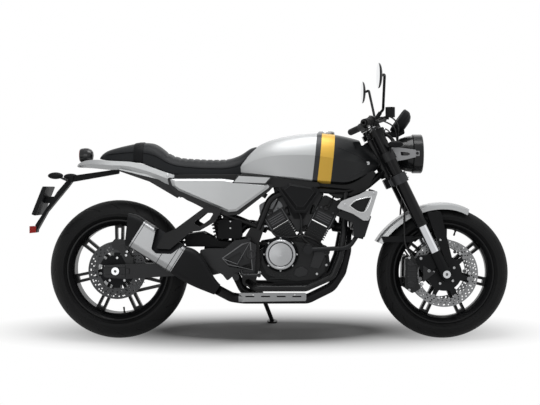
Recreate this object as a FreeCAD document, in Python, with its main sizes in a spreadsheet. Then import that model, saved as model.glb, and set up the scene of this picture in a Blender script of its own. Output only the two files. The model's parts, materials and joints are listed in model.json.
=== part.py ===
"""Cafe racer motorcycle with a V-twin engine, parked on its side stand.

The motorcycle is drawn upright in its own frame: +X forward, +Y to the rider's left, +Z up,
with the origin on the ground halfway between the axles. Every finished piece then gets the
placement that leans the machine onto its side stand and puts the origin under the middle of it.
All sizes are in millimetres and degrees.
"""
import FreeCAD, Part
import math
import os
import Sketcher
from FreeCAD import Placement, Rotation, Vector

SIZES = [
    # stance and steering geometry
    ("wheelbase", 1475.0, "axle to axle"),
    ("front_tyre_radius", 300.0, "120/70-17 tyre"),
    ("rear_tyre_radius", 315.0, "180/55-17 tyre"),
    ("rake_angle", 26.0, "steering axis from vertical"),
    ("yoke_offset", 32.0, "fork legs ahead of the steering axis"),
    ("fork_half_spread", 105.0, "fork leg centre from the middle plane"),
    ("lean_angle", 10.0, "lean on the side stand"),
    ("steering_lock", 33.0, "turn of the steering each way"),
    ("steering_room", 9.0, "free space round the turning steering"),
    ("running_gap", 0.3, "radial clearance of a turning fit"),
    ("seat_gap", 0.3, "gap between pieces that rest on each other"),
    # wheels
    ("front_tyre_width", 120.0, ""),
    ("front_crown_radius", 62.0, "round of the front tread"),
    ("rear_tyre_width", 178.0, ""),
    ("rear_crown_radius", 95.0, "round of the rear tread"),
    ("tyre_wall", 9.0, ""),
    ("rim_flange_radius", 228.0, "both wheels, 17 inch"),
    ("rim_bead_radius", 217.0, ""),
    ("rim_barrel_radius", 196.0, "inside of the rim barrel"),
    ("front_rim_width", 100.0, "over the flanges"),
    ("rear_rim_width", 152.0, "over the flanges"),
    ("spoke_pairs", 7.0, "twin spokes round each wheel"),
    ("spoke_width", 13.0, ""),
    ("spoke_slot", 10.0, "gap between the two spokes of a pair"),
    ("spoke_depth", 30.0, "across the wheel"),
    ("front_hub_radius", 42.0, ""),
    ("front_hub_width", 118.0, ""),
    ("rear_hub_radius", 56.0, ""),
    ("rear_hub_width", 150.0, ""),
    ("axle_radius", 10.0, ""),
    ("axle_bore", 6.0, "hollow of both axles, radius"),
    ("axle_head_radius", 17.0, ""),
    ("axle_head_length", 12.0, ""),
    # brakes
    ("disc_thickness", 5.0, ""),
    ("front_disc_radius", 152.0, ""),
    ("front_disc_inner", 116.0, ""),
    ("front_disc_plane", 68.0, "middle of the front discs from the middle plane"),
    ("carrier_radius", 80.0, "outer edge of the front disc carrier"),
    ("carrier_inner", 24.0, "hole of the disc carrier, round the axle collar"),
    ("carrier_arms", 7.0, ""),
    ("rear_disc_radius", 130.0, ""),
    ("rear_disc_inner", 62.0, ""),
    ("rear_disc_plane", 84.0, ""),
    ("disc_hole_radius", 3.2, ""),
    ("pad_gap", 1.5, "brake pad to disc"),
    # fork and yokes, measured along the fork from the front axle
    ("fork_outer_radius", 27.5, ""),
    ("fork_inner_radius", 21.5, ""),
    ("fork_outer_start", 245.0, "lower end of the outer tube"),
    ("fork_top", 721.0, "top of the outer tube"),
    ("fork_foot_top", 108.0, "top of the fork foot"),
    ("lower_yoke_at", 452.0, "underside of the lower yoke"),
    ("lower_yoke_height", 44.0, ""),
    ("top_yoke_at", 690.0, "underside of the top yoke"),
    ("top_yoke_height", 26.0, ""),
    ("clamp_wall", 9.0, "yoke round the fork tube"),
    ("clamp_lug", 20.0, "pinch lug behind each yoke clamp"),
    ("stem_radius", 13.0, ""),
    ("stem_bore", 7.0, "hole up the stem, radius"),
    ("head_tube_radius", 31.0, ""),
    # frame
    ("frame_tube_radius", 15.0, ""),
    ("rail_half_spread", 92.0, "upper frame rails"),
    ("cradle_half_spread", 130.0, "lower frame tubes"),
    ("cradle_height", 238.0, ""),
    ("pivot_x", -139.0, "swingarm pivot"),
    ("pivot_z", 385.0, ""),
    ("pivot_plate_thickness", 18.0, ""),
    ("pivot_plate_at", 94.0, "inner face of the frame pivot plates"),
    ("rear_rail_radius", 11.0, "subframe tubes"),
    # swingarm
    ("arm_inner", 113.0, "inner face of the swingarm arms"),
    ("arm_thickness", 27.0, ""),
    # chain
    ("chain_pitch", 15.875, "5/8 inch"),
    ("sprocket_teeth", 48.0, ""),
    ("gearbox_teeth", 16.0, ""),
    ("gearbox_x", -63.0, "wanted place of the gearbox sprocket"),
    ("chain_plane", 103.0, "middle of the chain from the middle plane"),
    ("chain_roller_radius", 5.0, ""),
    ("chain_inner_width", 7.6, "between the plates"),
    ("chain_plate", 4.2, "inner and outer plate together"),
    ("chain_plate_height", 14.6, ""),
    ("sprocket_thickness", 5.8, ""),
    # engine
    ("crank_x", 93.0, "crankshaft"),
    ("crank_z", 357.0, ""),
    ("rear_bank_angle", 31.0, "rear cylinder behind vertical"),
    ("front_bank_angle", 27.0, "front cylinder ahead of vertical"),
    ("crankcase_half_width", 104.0, ""),
    ("deck_height", 118.0, "crankshaft to cylinder foot"),
    ("cylinder_length", 196.0, "foot to top of the cam cover"),
    ("cylinder_depth", 96.0, "along the motorcycle"),
    ("cylinder_half_width", 62.0, ""),
    ("fin_count", 6.0, ""),
    ("fin_height", 5.0, ""),
    ("clutch_x", -3.0, ""),
    ("clutch_z", 389.0, ""),
    ("clutch_cover_radius", 79.0, ""),
    ("clutch_cover_depth", 52.0, ""),
    # exhaust
    ("header_radius", 22.0, ""),
    ("silencer_height", 136.0, ""),
    ("silencer_width", 102.0, ""),
    ("silencer_length", 214.0, ""),
    ("silencer_plane", -208.0, ""),
    ("silencer_tilt", 32.4, "nose down"),
    # cooling
    ("radiator_half_width", 148.0, ""),
    ("radiator_height", 205.0, ""),
    ("radiator_depth", 30.0, ""),
    ("radiator_tilt", 13.0, "top forward"),
    # bodywork
    ("panel_plane", 126.0, "inner face of the side panels"),
    ("panel_thickness", 16.0, ""),
    ("tyre_guard_plane", 86.0, "inner face of the rear tyre guard's cheeks"),
    ("guard_radius", 313.0, "inside of the front mudguard"),
    ("guard_half_width", 66.0, ""),
    ("guard_wall", 3.0, ""),
    # controls
    ("bar_radius", 11.0, ""),
    ("bar_bore", 7.0, "open end of the handlebar, radius"),
    ("bar_bore_depth", 50.0, ""),
    ("bar_ahead", 18.0, "handlebar clamp, ahead of the fork legs"),
    ("bar_up", 762.0, "handlebar clamp, up the fork"),
    ("grip_radius", 16.0, ""),
    ("grip_length", 128.0, ""),
    ("bar_end_y", 380.0, "half width of the handlebar"),
    ("headlamp_radius", 89.0, ""),
    ("headlamp_x", 643.0, "front of the lamp"),
    ("headlamp_z", 841.0, ""),
    ("mirror_height", 106.0, ""),
    ("mirror_width", 150.0, ""),
    ("peg_radius", 11.0, ""),
    # stand
    ("stand_pivot_x", -100.0, ""),
    ("stand_swing", 18.0, "leg forward of straight down, when down"),
    ("stand_axis_tilt", 24.5, "hinge axis up from level"),
    ("stand_leg_radius", 10.0, ""),
    ("stand_pin_radius", 8.0, ""),
]

doc = FreeCAD.newDocument("motorcycle")
sheet = doc.addObject("Spreadsheet::Sheet", "sizes")
for row, (alias, value, note) in enumerate(SIZES, start=1):
    sheet.set(f"A{row}", alias)
    sheet.set(f"B{row}", str(value))
    sheet.set(f"C{row}", note)
    sheet.setAlias(f"B{row}", alias)
doc.recompute()


def size(alias):
    """The value of one cell of the sheet."""
    return float(sheet.get(alias))


def sin(degrees):
    return math.sin(math.radians(degrees))


def cos(degrees):
    return math.cos(math.radians(degrees))


def tan(degrees):
    return math.tan(math.radians(degrees))


# Places that many pieces share
RAKE = size("rake_angle")
GAP = size("seat_gap")
RUN = size("running_gap")
AXIS_X, AXIS_Y, AXIS_Z = Vector(1, 0, 0), Vector(0, 1, 0), Vector(0, 0, 1)
ORIGIN = Vector(0, 0, 0)
# The upright machine is drawn from a point on the ground, with +X ahead, +Y left and +Z up. The front axle is
# 737.5 ahead of it, and a longer wheelbase is a longer swingarm.
FRONT_AXLE = Vector(737.5, 0, size("front_tyre_radius"))
REAR_AXLE = Vector(FRONT_AXLE.x - size("wheelbase"), 0, size("rear_tyre_radius"))
PIVOT = Vector(size("pivot_x"), 0, size("pivot_z"))
CRANK = Vector(size("crank_x"), 0, size("crank_z"))
FORK = Placement(FRONT_AXLE, Rotation(AXIS_Y, -RAKE))
LEG_Y = size("fork_half_spread")


def fork_point(ahead, left, up):
    """A point of the fork's frame (ahead of the legs, to the left, up the legs) as a point of the motorcycle."""
    return FORK.multVec(Vector(ahead, left, up))


def lean_placement():
    """Leans the upright machine to its left until the stand meets the ground that both tyres touch."""
    return Placement(ORIGIN, Rotation(AXIS_X, -size("lean_angle")))


def tyre_drop(radius, crown):
    """How far the leaning tyre reaches below the ground line of the upright machine."""
    return (radius - crown) * cos(size("lean_angle")) + crown - radius * cos(size("lean_angle"))


GROUND_DROP = tyre_drop(size("rear_tyre_radius"), size("rear_crown_radius"))


def ground_height(y):
    """Height of the ground in the upright machine's frame, at a distance y to the left."""
    return y * tan(size("lean_angle")) - GROUND_DROP / cos(size("lean_angle"))


# Shape helpers
def rounded_path(points, radius):
    """Edges through the points with each corner rounded as far as its runs allow."""
    pts = [Vector(*p) for p in points]
    cuts = []
    for i in range(1, len(pts) - 1):
        a, b = pts[i - 1] - pts[i], pts[i + 1] - pts[i]
        turn = math.pi - a.getAngle(b)
        if turn < 1e-4:
            cuts.append((pts[i], pts[i], None))
            continue
        room = 0.48 * min(a.Length, b.Length)
        back = min(radius * math.tan(turn / 2), room)
        arc_radius = back / math.tan(turn / 2)
        ua, ub = Vector(a).normalize(), Vector(b).normalize()
        start, end = pts[i] + ua * back, pts[i] + ub * back
        middle_dir = (ua + ub).normalize()
        centre = pts[i] + middle_dir * (arc_radius / math.cos(turn / 2))
        cuts.append((start, end, centre - middle_dir * arc_radius))
    edges, at = [], pts[0]
    for start, end, middle in cuts:
        if (start - at).Length > 1e-6:
            edges.append(Part.LineSegment(at, start).toShape())
        if middle is not None:
            edges.append(Part.Arc(start, middle, end).toShape())
        at = end
    edges.append(Part.LineSegment(at, pts[-1]).toShape())
    return Part.Wire(edges)


def tube(points, radius, bend=60.0):
    """A round bar along the points."""
    path = rounded_path(points, bend)
    along = Vector(*points[1]) - Vector(*points[0])
    ring = Part.Wire([Part.makeCircle(radius, Vector(*points[0]), along)])
    return path.makePipeShell([ring], True, True)


def rod(start, end, radius):
    """A straight round bar between two points."""
    along = Vector(*end) - Vector(*start)
    return Part.makeCylinder(radius, along.Length, Vector(*start), along)


def outline(points, radius=0.0, y=0.0):
    """A closed wire in the side view at distance y, its corners rounded."""
    pts = [Vector(x, y, z) for x, z in points]
    if radius <= 0:
        return Part.makePolygon(pts + [pts[0]])
    first = (pts[0] + pts[-1]) * 0.5
    loop = [first] + pts + [first]
    return rounded_path([tuple(p) for p in loop], radius)


def plate(points, y0, y1, radius=0.0):
    """A side-view outline as a plate from y0 to y1."""
    face = Part.Face(outline(points, radius, y0))
    return face.extrude(Vector(0, y1 - y0, 0))


def mirrored(shape):
    """The same piece on the other side of the middle plane."""
    return shape.mirror(ORIGIN, AXIS_Y)


def placed(shape, placement):
    """The same shape somewhere else."""
    other = shape.copy()
    other.Placement = placement.multiply(other.Placement)
    return other


def fused(shapes):
    """One solid out of several that overlap."""
    whole = shapes[0].multiFuse(shapes[1:])
    return whole.removeSplitter()


def loft(wires):
    return Part.makeLoft(wires, True, False)


# Document helpers
NODES = []


def keep(obj, name, local=Placement()):
    """Names a finished piece and gives it its place on the leaning machine."""
    obj.Label = name
    NODES.append((name, obj, local))
    return obj


def feature(name, shape, local=Placement()):
    """A piece whose shape is worked out above from the sheet."""
    obj = doc.addObject("Part::Feature", name)
    obj.Shape = shape
    return keep(obj, name, local)


def body(name):
    made = doc.addObject("PartDesign::Body", name)
    made.Label = name
    return made


def sketch(owner, name, role, offset=0.0, wires=(), circles=()):
    """A sketch on one of the body's own planes. Side-view sketches use XZ_Plane, whose normal is -Y."""
    made = owner.newObject("Sketcher::SketchObject", name)
    plane = next(f for f in owner.Origin.OriginFeatures if f.Role == role)
    made.AttachmentSupport = (plane, [""])
    made.MapMode = "FlatFace"
    made.AttachmentOffset = Placement(Vector(0, 0, offset), Rotation())
    for wire in wires:
        add_loop(made, wire)
    for (x, y), radius in circles:
        made.addGeometry(Part.Circle(Vector(x, y, 0), AXIS_Z, radius), False)
    return made


def add_loop(made, points):
    """A closed loop of straight lines; an item (middle, end) is an arc from the point before it."""
    start = Vector(points[0][0], points[0][1], 0)
    at = start
    for p in points[1:]:
        if isinstance(p[0], tuple):
            middle, end = Vector(p[0][0], p[0][1], 0), Vector(p[1][0], p[1][1], 0)
            made.addGeometry(Part.Arc(at, middle, end), False)
        else:
            end = Vector(p[0], p[1], 0)
            made.addGeometry(Part.LineSegment(at, end), False)
        at = end
    if (at - start).Length > 1e-6:
        made.addGeometry(Part.LineSegment(at, start), False)


def set_length(made, length):
    """A number, or a formula in the words of the sheet."""
    if isinstance(length, str):
        made.setExpression("Length", length)
    else:
        made.Length = length


def pad(owner, name, profile, length, midplane=False):
    made = owner.newObject("PartDesign::Pad", name)
    made.Profile = profile
    set_length(made, length)
    made.SideType = "Symmetric" if midplane else "One side"
    return made


def pocket(owner, name, profile, length, midplane=False):
    made = owner.newObject("PartDesign::Pocket", name)
    made.Profile = profile
    set_length(made, length)
    made.SideType = "Symmetric" if midplane else "One side"
    return made


def slab(owner, name, y0, y1, wires=(), circles=()):
    """A side-view outline padded from y0 up to y1."""
    drawn = sketch(owner, name + "_outline", "XZ_Plane", -y1, wires, circles)
    return pad(owner, name, drawn, y1 - y0)


def cut(owner, name, y0, y1, wires=(), circles=()):
    """A side-view outline cut away from y0 up to y1."""
    drawn = sketch(owner, name + "_outline", "XZ_Plane", -y0, wires, circles)
    return pocket(owner, name, drawn, y1 - y0)


def turned(owner, name, loop, groove=False):
    """A loop of (radius, y) points turned round the body's Y axis."""
    drawn = sketch(owner, name + "_section", "XY_Plane", wires=[loop])
    made = owner.newObject("PartDesign::Groove" if groove else "PartDesign::Revolution", name)
    made.Profile = drawn
    made.ReferenceAxis = (drawn, ["V_Axis"])
    made.Angle = 360
    return made


def polar(owner, name, features, count):
    """Repeats features round the body's Y axis."""
    made = owner.newObject("PartDesign::PolarPattern", name)
    made.Originals = features
    axis = next(f for f in owner.Origin.OriginFeatures if f.Role == "Y_Axis")
    made.Axis = (axis, [""])
    made.Angle = 360
    if isinstance(count, str):
        made.setExpression("Occurrences", count)
    else:
        made.Occurrences = count
    owner.Tip = made
    return made


def both_sides(name, source, local=Placement()):
    """The piece and its mirror image as one node with two solids."""
    twin = doc.addObject("Part::Mirroring", name + "_twin")
    twin.Source = source
    twin.Normal = AXIS_Y
    pair = doc.addObject("Part::Compound", name)
    pair.Links = [source, twin]
    return keep(pair, name, local)


# Wheels
def mirrored_loop(points):
    """A loop of (radius, y) from its upper half, listed from outside to inside."""
    return points + [(r, -y) for r, y in points[::-1]]


def tyre(name, axle, radius, width, crown, rim_width):
    """Round tread, side walls and beads, hollow inside."""
    made = body(name)
    half, wall, bead = width / 2, size("tyre_wall"), size("rim_bead_radius") + GAP
    seat = rim_width / 2 - 6 - GAP
    shoulder = radius - crown + math.sqrt(crown ** 2 - half ** 2)
    inner_crown, inner_half = crown - wall, half - wall
    inner_shoulder = radius - crown + math.sqrt(inner_crown ** 2 - inner_half ** 2)
    under_tread = radius - crown + math.sqrt(inner_crown ** 2 - inner_half ** 2 / 4)
    wide = shoulder - 11
    lip = size("rim_flange_radius") + 1
    loop = [(bead, -seat), (lip, -seat), (wide, -half + 1), (shoulder, -half),
            ((radius, 0), (shoulder, half)), (wide, half - 1), (lip, seat), (bead, seat),
            (bead, seat - 11), (lip, seat - 11), (wide, inner_half),
            (inner_shoulder, inner_half), (under_tread, inner_half / 2), (under_tread, -inner_half / 2),
            (inner_shoulder, -inner_half), (wide, -inner_half), (lip, -seat + 11), (bead, -seat + 11)]
    turned(made, name + "_round", loop)
    return keep(made, name, Placement(axle, Rotation()))


def rim(name, axle, rim_width, hub_radius, hub_width):
    """A cast wheel: barrel with flanges, hub, and pairs of spokes."""
    made = body(name)
    flange, bead, inner = size("rim_flange_radius"), size("rim_bead_radius"), size("rim_barrel_radius")
    half, hub, hub_half = rim_width / 2, hub_radius, hub_width / 2
    outside = [(flange, half), (flange, half - 6), (bead, half - 6), (bead, half - 20), (inner + 11, half - 30)]
    inside = [(inner + 3, half - 34), (inner + 10, half - 16), (flange - 6, half)]
    loop = mirrored_loop(outside) + [(r, -y) for r, y in inside[::-1]] + inside
    turned(made, name + "_barrel", loop)
    bore = size("axle_radius") + RUN
    turned(made, name + "_hub", mirrored_loop([(bore, hub_half), (hub - 9, hub_half), (hub, hub_half - 14)]))
    bar, slot = size("spoke_width"), size("spoke_slot") / 2
    root, tip = hub - 8, inner + 6
    pair = [(root, -slot - bar), (tip, -slot - bar - 3), (tip, slot + bar + 3), (root, slot + bar)]
    gap = [(hub + 9, -slot), (inner - 8, -slot - 3), (inner - 8, slot + 3), (hub + 9, slot)]
    spokes = sketch(made, name + "_spoke_pair", "XZ_Plane", wires=[pair, gap])
    pair_pad = pad(made, name + "_spokes", spokes, "sizes.spoke_depth", midplane=True)
    polar(made, name + "_spoke_ring", [pair_pad], "sizes.spoke_pairs")
    return keep(made, name, Placement(axle, Rotation(AXIS_Y, -90)))


tyre("front_tyre", FRONT_AXLE, size("front_tyre_radius"), size("front_tyre_width"),
     size("front_crown_radius"), size("front_rim_width"))
tyre("rear_tyre", REAR_AXLE, size("rear_tyre_radius"), size("rear_tyre_width"),
     size("rear_crown_radius"), size("rear_rim_width"))
rim("front_rim", FRONT_AXLE, size("front_rim_width"), size("front_hub_radius"), size("front_hub_width"))
rim("rear_rim", REAR_AXLE, size("rear_rim_width"), size("rear_hub_radius"), size("rear_hub_width"))


# Brake discs
def drill(made, name, rows, y0, y1):
    """Rings of small holes right through a disc; a row is (ring radius, number of holes, first angle)."""
    for i, (ring, count, first) in enumerate(rows):
        at = (ring * cos(first), ring * sin(first))
        hole = cut(made, f"{name}_{i}", y0, y1, circles=[(at, size("disc_hole_radius"))])
        polar(made, f"{name}_ring_{i}", [hole], count)


disc_t = size("disc_thickness")
y_disc, y_hub = size("front_disc_plane"), size("front_hub_width") / 2
front_disc = body("front_disc_left")
slab(front_disc, "front_disc_band", y_disc - disc_t / 2, y_disc + disc_t / 2,
     circles=[((0, 0), size("front_disc_radius")), ((0, 0), size("front_disc_inner"))])
button = slab(front_disc, "front_disc_button", y_disc - disc_t / 2 - 4, y_disc + disc_t / 2 + 2,
              circles=[((size("front_disc_inner") - 3, 0), 8.5)])
polar(front_disc, "front_disc_buttons", [button], "sizes.carrier_arms")
arm = slab(front_disc, "front_disc_arm", y_hub, y_disc - disc_t / 2,
           wires=[[(size("carrier_radius") - 6, -13), (size("front_disc_inner") - 4, -7),
                   (size("front_disc_inner") - 4, 7), (size("carrier_radius") - 6, 13)]])
polar(front_disc, "front_disc_arms", [arm], "sizes.carrier_arms")
slab(front_disc, "front_disc_carrier", y_hub, y_disc - disc_t / 2,
     circles=[((0, 0), size("carrier_radius")), ((0, 0), size("carrier_inner"))])
drill(front_disc, "front_disc_hole", [(126, 14, 13), (142, 14, 0)], y_disc - disc_t / 2 - 1, y_disc + disc_t / 2 + 1)
discs = both_sides("front_discs", front_disc, Placement(FRONT_AXLE, Rotation(AXIS_Y, -90)))

y_rear, rear_face = size("rear_disc_plane"), size("rear_hub_width") / 2
rear_disc = body("rear_disc")
slab(rear_disc, "rear_disc_band", -y_rear - disc_t / 2, -y_rear + disc_t / 2,
     circles=[((0, 0), size("rear_disc_radius")), ((0, 0), 26.0)])
slab(rear_disc, "rear_disc_boss", -y_rear + disc_t / 2, -rear_face,
     circles=[((0, 0), size("rear_disc_inner") - 6), ((0, 0), 26.0)])
r0, r1 = size("rear_disc_inner") + 8, size("rear_disc_inner") + 24
wide_x, wide_z = cos(19), sin(19)
window = [(r0 * wide_x, -r0 * wide_z), (r1 * wide_x, -r1 * wide_z), ((r1, 0), (r1 * wide_x, r1 * wide_z)),
          (r0 * wide_x, r0 * wide_z), ((r0, 0), (r0 * wide_x, -r0 * wide_z))]
opening = cut(rear_disc, "rear_disc_window", -y_rear - disc_t, -y_rear + disc_t, wires=[window])
polar(rear_disc, "rear_disc_windows", [opening], 6)
drill(rear_disc, "rear_disc_hole", [(101, 14, 13), (118, 14, 0)], -y_rear - disc_t, -y_rear + disc_t)
keep(rear_disc, "rear_disc", Placement(REAR_AXLE, Rotation()))


# Final drive: sprocket on the rear wheel, chain held by the frame side of the machine
def pitch_radius(teeth):
    return size("chain_pitch") / 2 / sin(180 / teeth)


REAR_PITCH = pitch_radius(size("sprocket_teeth"))
FRONT_PITCH = pitch_radius(size("gearbox_teeth"))
SEAT = size("chain_roller_radius") + 0.9
PLANE = size("chain_plane")


def tooth_loop(teeth, radius):
    """The outline of a sprocket: a valley for each roller and a flat-topped tooth between two valleys."""
    valley = [(radius + 3.6, -7.3), (radius - SEAT * 0.42, -SEAT * 0.92), (radius - SEAT, 0.0),
              (radius - SEAT * 0.42, SEAT * 0.92), (radius + 3.6, 7.3)]
    loop = []
    for i in range(int(teeth)):
        for r, side in valley:
            at = 360 * i / teeth + math.degrees(math.atan2(side, r))
            loop.append((r * cos(at), r * sin(at)))
    return loop


rear_sprocket = body("rear_sprocket")
tooth_t = size("sprocket_thickness")
slab(rear_sprocket, "sprocket_teeth", PLANE - tooth_t / 2, PLANE + tooth_t / 2,
     wires=[tooth_loop(size("sprocket_teeth"), REAR_PITCH)], circles=[((0, 0), 18.0)])
slab(rear_sprocket, "sprocket_carrier", rear_face, PLANE - tooth_t / 2,
     circles=[((0, 0), 68.0), ((0, 0), 18.0)])
window = cut(rear_sprocket, "sprocket_window", PLANE - tooth_t, PLANE + tooth_t, circles=[((91, 0), 13.0)])
polar(rear_sprocket, "sprocket_windows", [window], 8)
PITCH = size("chain_pitch")
big, small = size("sprocket_teeth"), size("gearbox_teeth")
rise = PIVOT.z - REAR_AXLE.z
# An even number of links fits the wanted span best, and the gearbox sprocket then moves to where it is taut
span = math.hypot(size("gearbox_x") - REAR_AXLE.x, rise)
wrap = ((big - small) / (2 * math.pi)) ** 2 * PITCH / span
CHAIN_LINKS = 2 * round((2 * span / PITCH + (big + small) / 2 + wrap) / 2)
for _ in range(4):
    span = (CHAIN_LINKS - (big + small) / 2 - wrap) * PITCH / 2
    wrap = ((big - small) / (2 * math.pi)) ** 2 * PITCH / span
GEARBOX = Vector(REAR_AXLE.x + math.sqrt(span ** 2 - rise ** 2), 0, PIVOT.z)
SLOPE = math.degrees(math.asin(rise / span))
CHAIN_LEAN = math.degrees(math.asin((REAR_PITCH - FRONT_PITCH) / span))
DRIVE = Placement(REAR_AXLE, Rotation(AXIS_Y, -SLOPE))
keep(rear_sprocket, "rear_sprocket", DRIVE)


def chain_rollers():
    """The middle of every roller, in a flat frame with x from the rear axle to the gearbox sprocket."""
    a = CHAIN_LEAN
    rear_arc = math.radians(180 + 2 * a) * REAR_PITCH
    front_arc = math.radians(180 - 2 * a) * FRONT_PITCH
    run = span * cos(a)
    top_rear = Vector(REAR_PITCH * sin(a), 0, REAR_PITCH * cos(a))
    top_front = Vector(span + FRONT_PITCH * sin(a), 0, FRONT_PITCH * cos(a))
    low_rear, low_front = Vector(top_rear.x, 0, -top_rear.z), Vector(top_front.x, 0, -top_front.z)
    total = rear_arc + front_arc + 2 * run
    rollers = []
    for i in range(CHAIN_LINKS):
        d = (i * total / CHAIN_LINKS + rear_arc / 2) % total
        if d < rear_arc:
            at = 270 + a - math.degrees(d / REAR_PITCH)
            rollers.append(Vector(REAR_PITCH * cos(at), 0, REAR_PITCH * sin(at)))
        elif d < rear_arc + run:
            rollers.append(top_rear + (top_front - top_rear) * ((d - rear_arc) / run))
        elif d < rear_arc + run + front_arc:
            at = 90 - a - math.degrees((d - rear_arc - run) / FRONT_PITCH)
            rollers.append(Vector(span + FRONT_PITCH * cos(at), 0, FRONT_PITCH * sin(at)))
        else:
            rollers.append(low_front + (low_rear - low_front) * ((d - rear_arc - run - front_arc) / run))
    return rollers


def race_track(offset, y):
    """The closed path of the chain, offset outward, in the same flat frame."""
    a, big_r, small_r = CHAIN_LEAN, REAR_PITCH + offset, FRONT_PITCH + offset
    front = Vector(span, y, 0)
    top_rear, low_rear = Vector(big_r * sin(a), y, big_r * cos(a)), Vector(big_r * sin(a), y, -big_r * cos(a))
    top_front = front + Vector(small_r * sin(a), 0, small_r * cos(a))
    low_front = front + Vector(small_r * sin(a), 0, -small_r * cos(a))
    return Part.Wire([Part.Arc(low_rear, Vector(-big_r, y, 0), top_rear).toShape(),
                      Part.LineSegment(top_rear, top_front).toShape(),
                      Part.Arc(top_front, front + Vector(small_r, 0, 0), low_front).toShape(),
                      Part.LineSegment(low_front, low_rear).toShape()])


def chain_shape():
    """Two bands of link plates joined by the rollers."""
    half, plates = size("chain_plate_height") / 2, size("chain_plate")
    inner = PLANE - size("chain_inner_width") / 2
    outer = PLANE + size("chain_inner_width") / 2
    solids = []
    for y in (inner - plates, outer):
        disc, hole = Part.Face(race_track(half, y)), Part.Face(race_track(-half, y))
        solids.append(disc.extrude(Vector(0, plates, 0)).cut(hole.extrude(Vector(0, plates, 0))))
    for i, at in enumerate(chain_rollers()):
        corners = []
        for k in range(7):
            r = size("chain_roller_radius")
            corners.append(at + Vector(r * cos(60 * k), inner - 1, r * sin(60 * k)))
        face = Part.Face(Part.makePolygon(corners))
        solids.append(face.extrude(Vector(0, outer - inner + 2, 0)))
    return solids[0].multiFuse(solids[1:])


feature("chain", chain_shape(), DRIVE)


# Frame: head tube, rails, cradle and pivot plates
def both(shape):
    """A shape and its mirror image, to be joined with others."""
    return [shape, mirrored(shape)]


STEM_BACK = -size("yoke_offset")
AXLE_Y = size("arm_inner") + size("arm_thickness")
pivot_in, pivot_t = 66.0, size("pivot_plate_thickness")
tube_r, rail_y, cradle_y = size("frame_tube_radius"), size("rail_half_spread"), size("cradle_half_spread")
cradle_z = size("cradle_height")
head_low, head_high = fork_point(STEM_BACK, 0, 502), fork_point(STEM_BACK, 0, 684)
head_tube = rod(head_low, head_high, size("head_tube_radius"))
rail_top = fork_point(STEM_BACK - 2, 14, 531)
main_rail = tube([tuple(rail_top), (385, 48, 690), (290, 66, 668), (60, 88, 686), (-50, 92, 640),
                  (-104, 76, 500)], tube_r, 70)
downtube = tube([(292, 66, 664), (287, 80, 560), (281, 108, 480), (262, cradle_y, 372), (228, cradle_y, 290),
                 (110, cradle_y, cradle_z), (-120, cradle_y, cradle_z), (-150, 84, 262)], tube_r, 40)
pivot_plate = plate([(-70, 520), (-118, 540), (-170, 452), (-182, 330), (-172, 242), (-120, 242), (-96, 330),
                     (-98, 440)], pivot_in, pivot_in + pivot_t, 22)
head_plate = plate([(150, 722), (198, 674), (256, 636), (310, 650), (382, 672), (430, 752), (414, 764),
                    (366, 742), (320, 722), (240, 720)], 60, 74, 8)
pivot_bolt = rod((PIVOT.x, -AXLE_Y - 6, PIVOT.z), (PIVOT.x, AXLE_Y + 6, PIVOT.z), size("axle_radius"))
cross_low = rod((-146, -pivot_in - 4, 262), (-146, pivot_in + 4, 262), 13)
cross_high = rod((-112, -pivot_in - 4, 505), (-112, pivot_in + 4, 505), 13)
STAND_TILT = size("stand_axis_tilt")
STAND_AXIS = Vector(0, cos(STAND_TILT), sin(STAND_TILT))
STAND_DOWN = Vector(0, sin(STAND_TILT), -cos(STAND_TILT))
STAND_SWING = size("stand_swing")
STAND_PIVOT = Vector(size("stand_pivot_x"), cradle_y + 36, cradle_z - 26)
stand_lug = [rod(STAND_PIVOT - STAND_AXIS * 38, STAND_PIVOT - STAND_AXIS * 12, 15),
             rod((STAND_PIVOT.x, cradle_y, cradle_z), tuple(STAND_PIVOT - STAND_AXIS * 30), 11),
             rod(STAND_PIVOT - STAND_AXIS * 14, STAND_PIVOT + STAND_AXIS * 18, size("stand_pin_radius")),
             rod(STAND_PIVOT + STAND_AXIS * 12, STAND_PIVOT + STAND_AXIS * 18, size("stand_pin_radius") + 4)]
frame_shape = fused([head_tube] + stand_lug + both(main_rail) + both(downtube) + both(pivot_plate)
                    + both(head_plate) + [pivot_bolt, cross_low, cross_high])
frame_shape = frame_shape.cut(rod(fork_point(STEM_BACK, 0, 400), fork_point(STEM_BACK, 0, 800),
                                  size("stem_radius") + RUN))
feature("frame", frame_shape)

# Subframe: rails under the seat, stays, silencer and pillion hangers
sub_r = size("rear_rail_radius")
sub_rail = tube([(-66, 80, 646), (-160, 78, 706), (-440, 72, 714), (-560, 58, 738), (-716, 40, 780)], sub_r, 60)
sub_stay = tube([(-112, 80, 512), (-250, 96, 566), (-420, 84, 640), (-560, 62, 740)], sub_r, 60)


def splayed(points, y, thick, radius):
    """A side-view plate that leans outward as it goes down, at distance y where its height is 588."""
    pts = [Vector(x, y + (588 - z) * 0.44, z) for x, z in points]
    first = (pts[0] + pts[-1]) * 0.5
    wire = rounded_path([tuple(p) for p in [first] + pts + [first]], radius)
    return Part.Face(wire).extrude(Vector(0, thick, 0))


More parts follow.
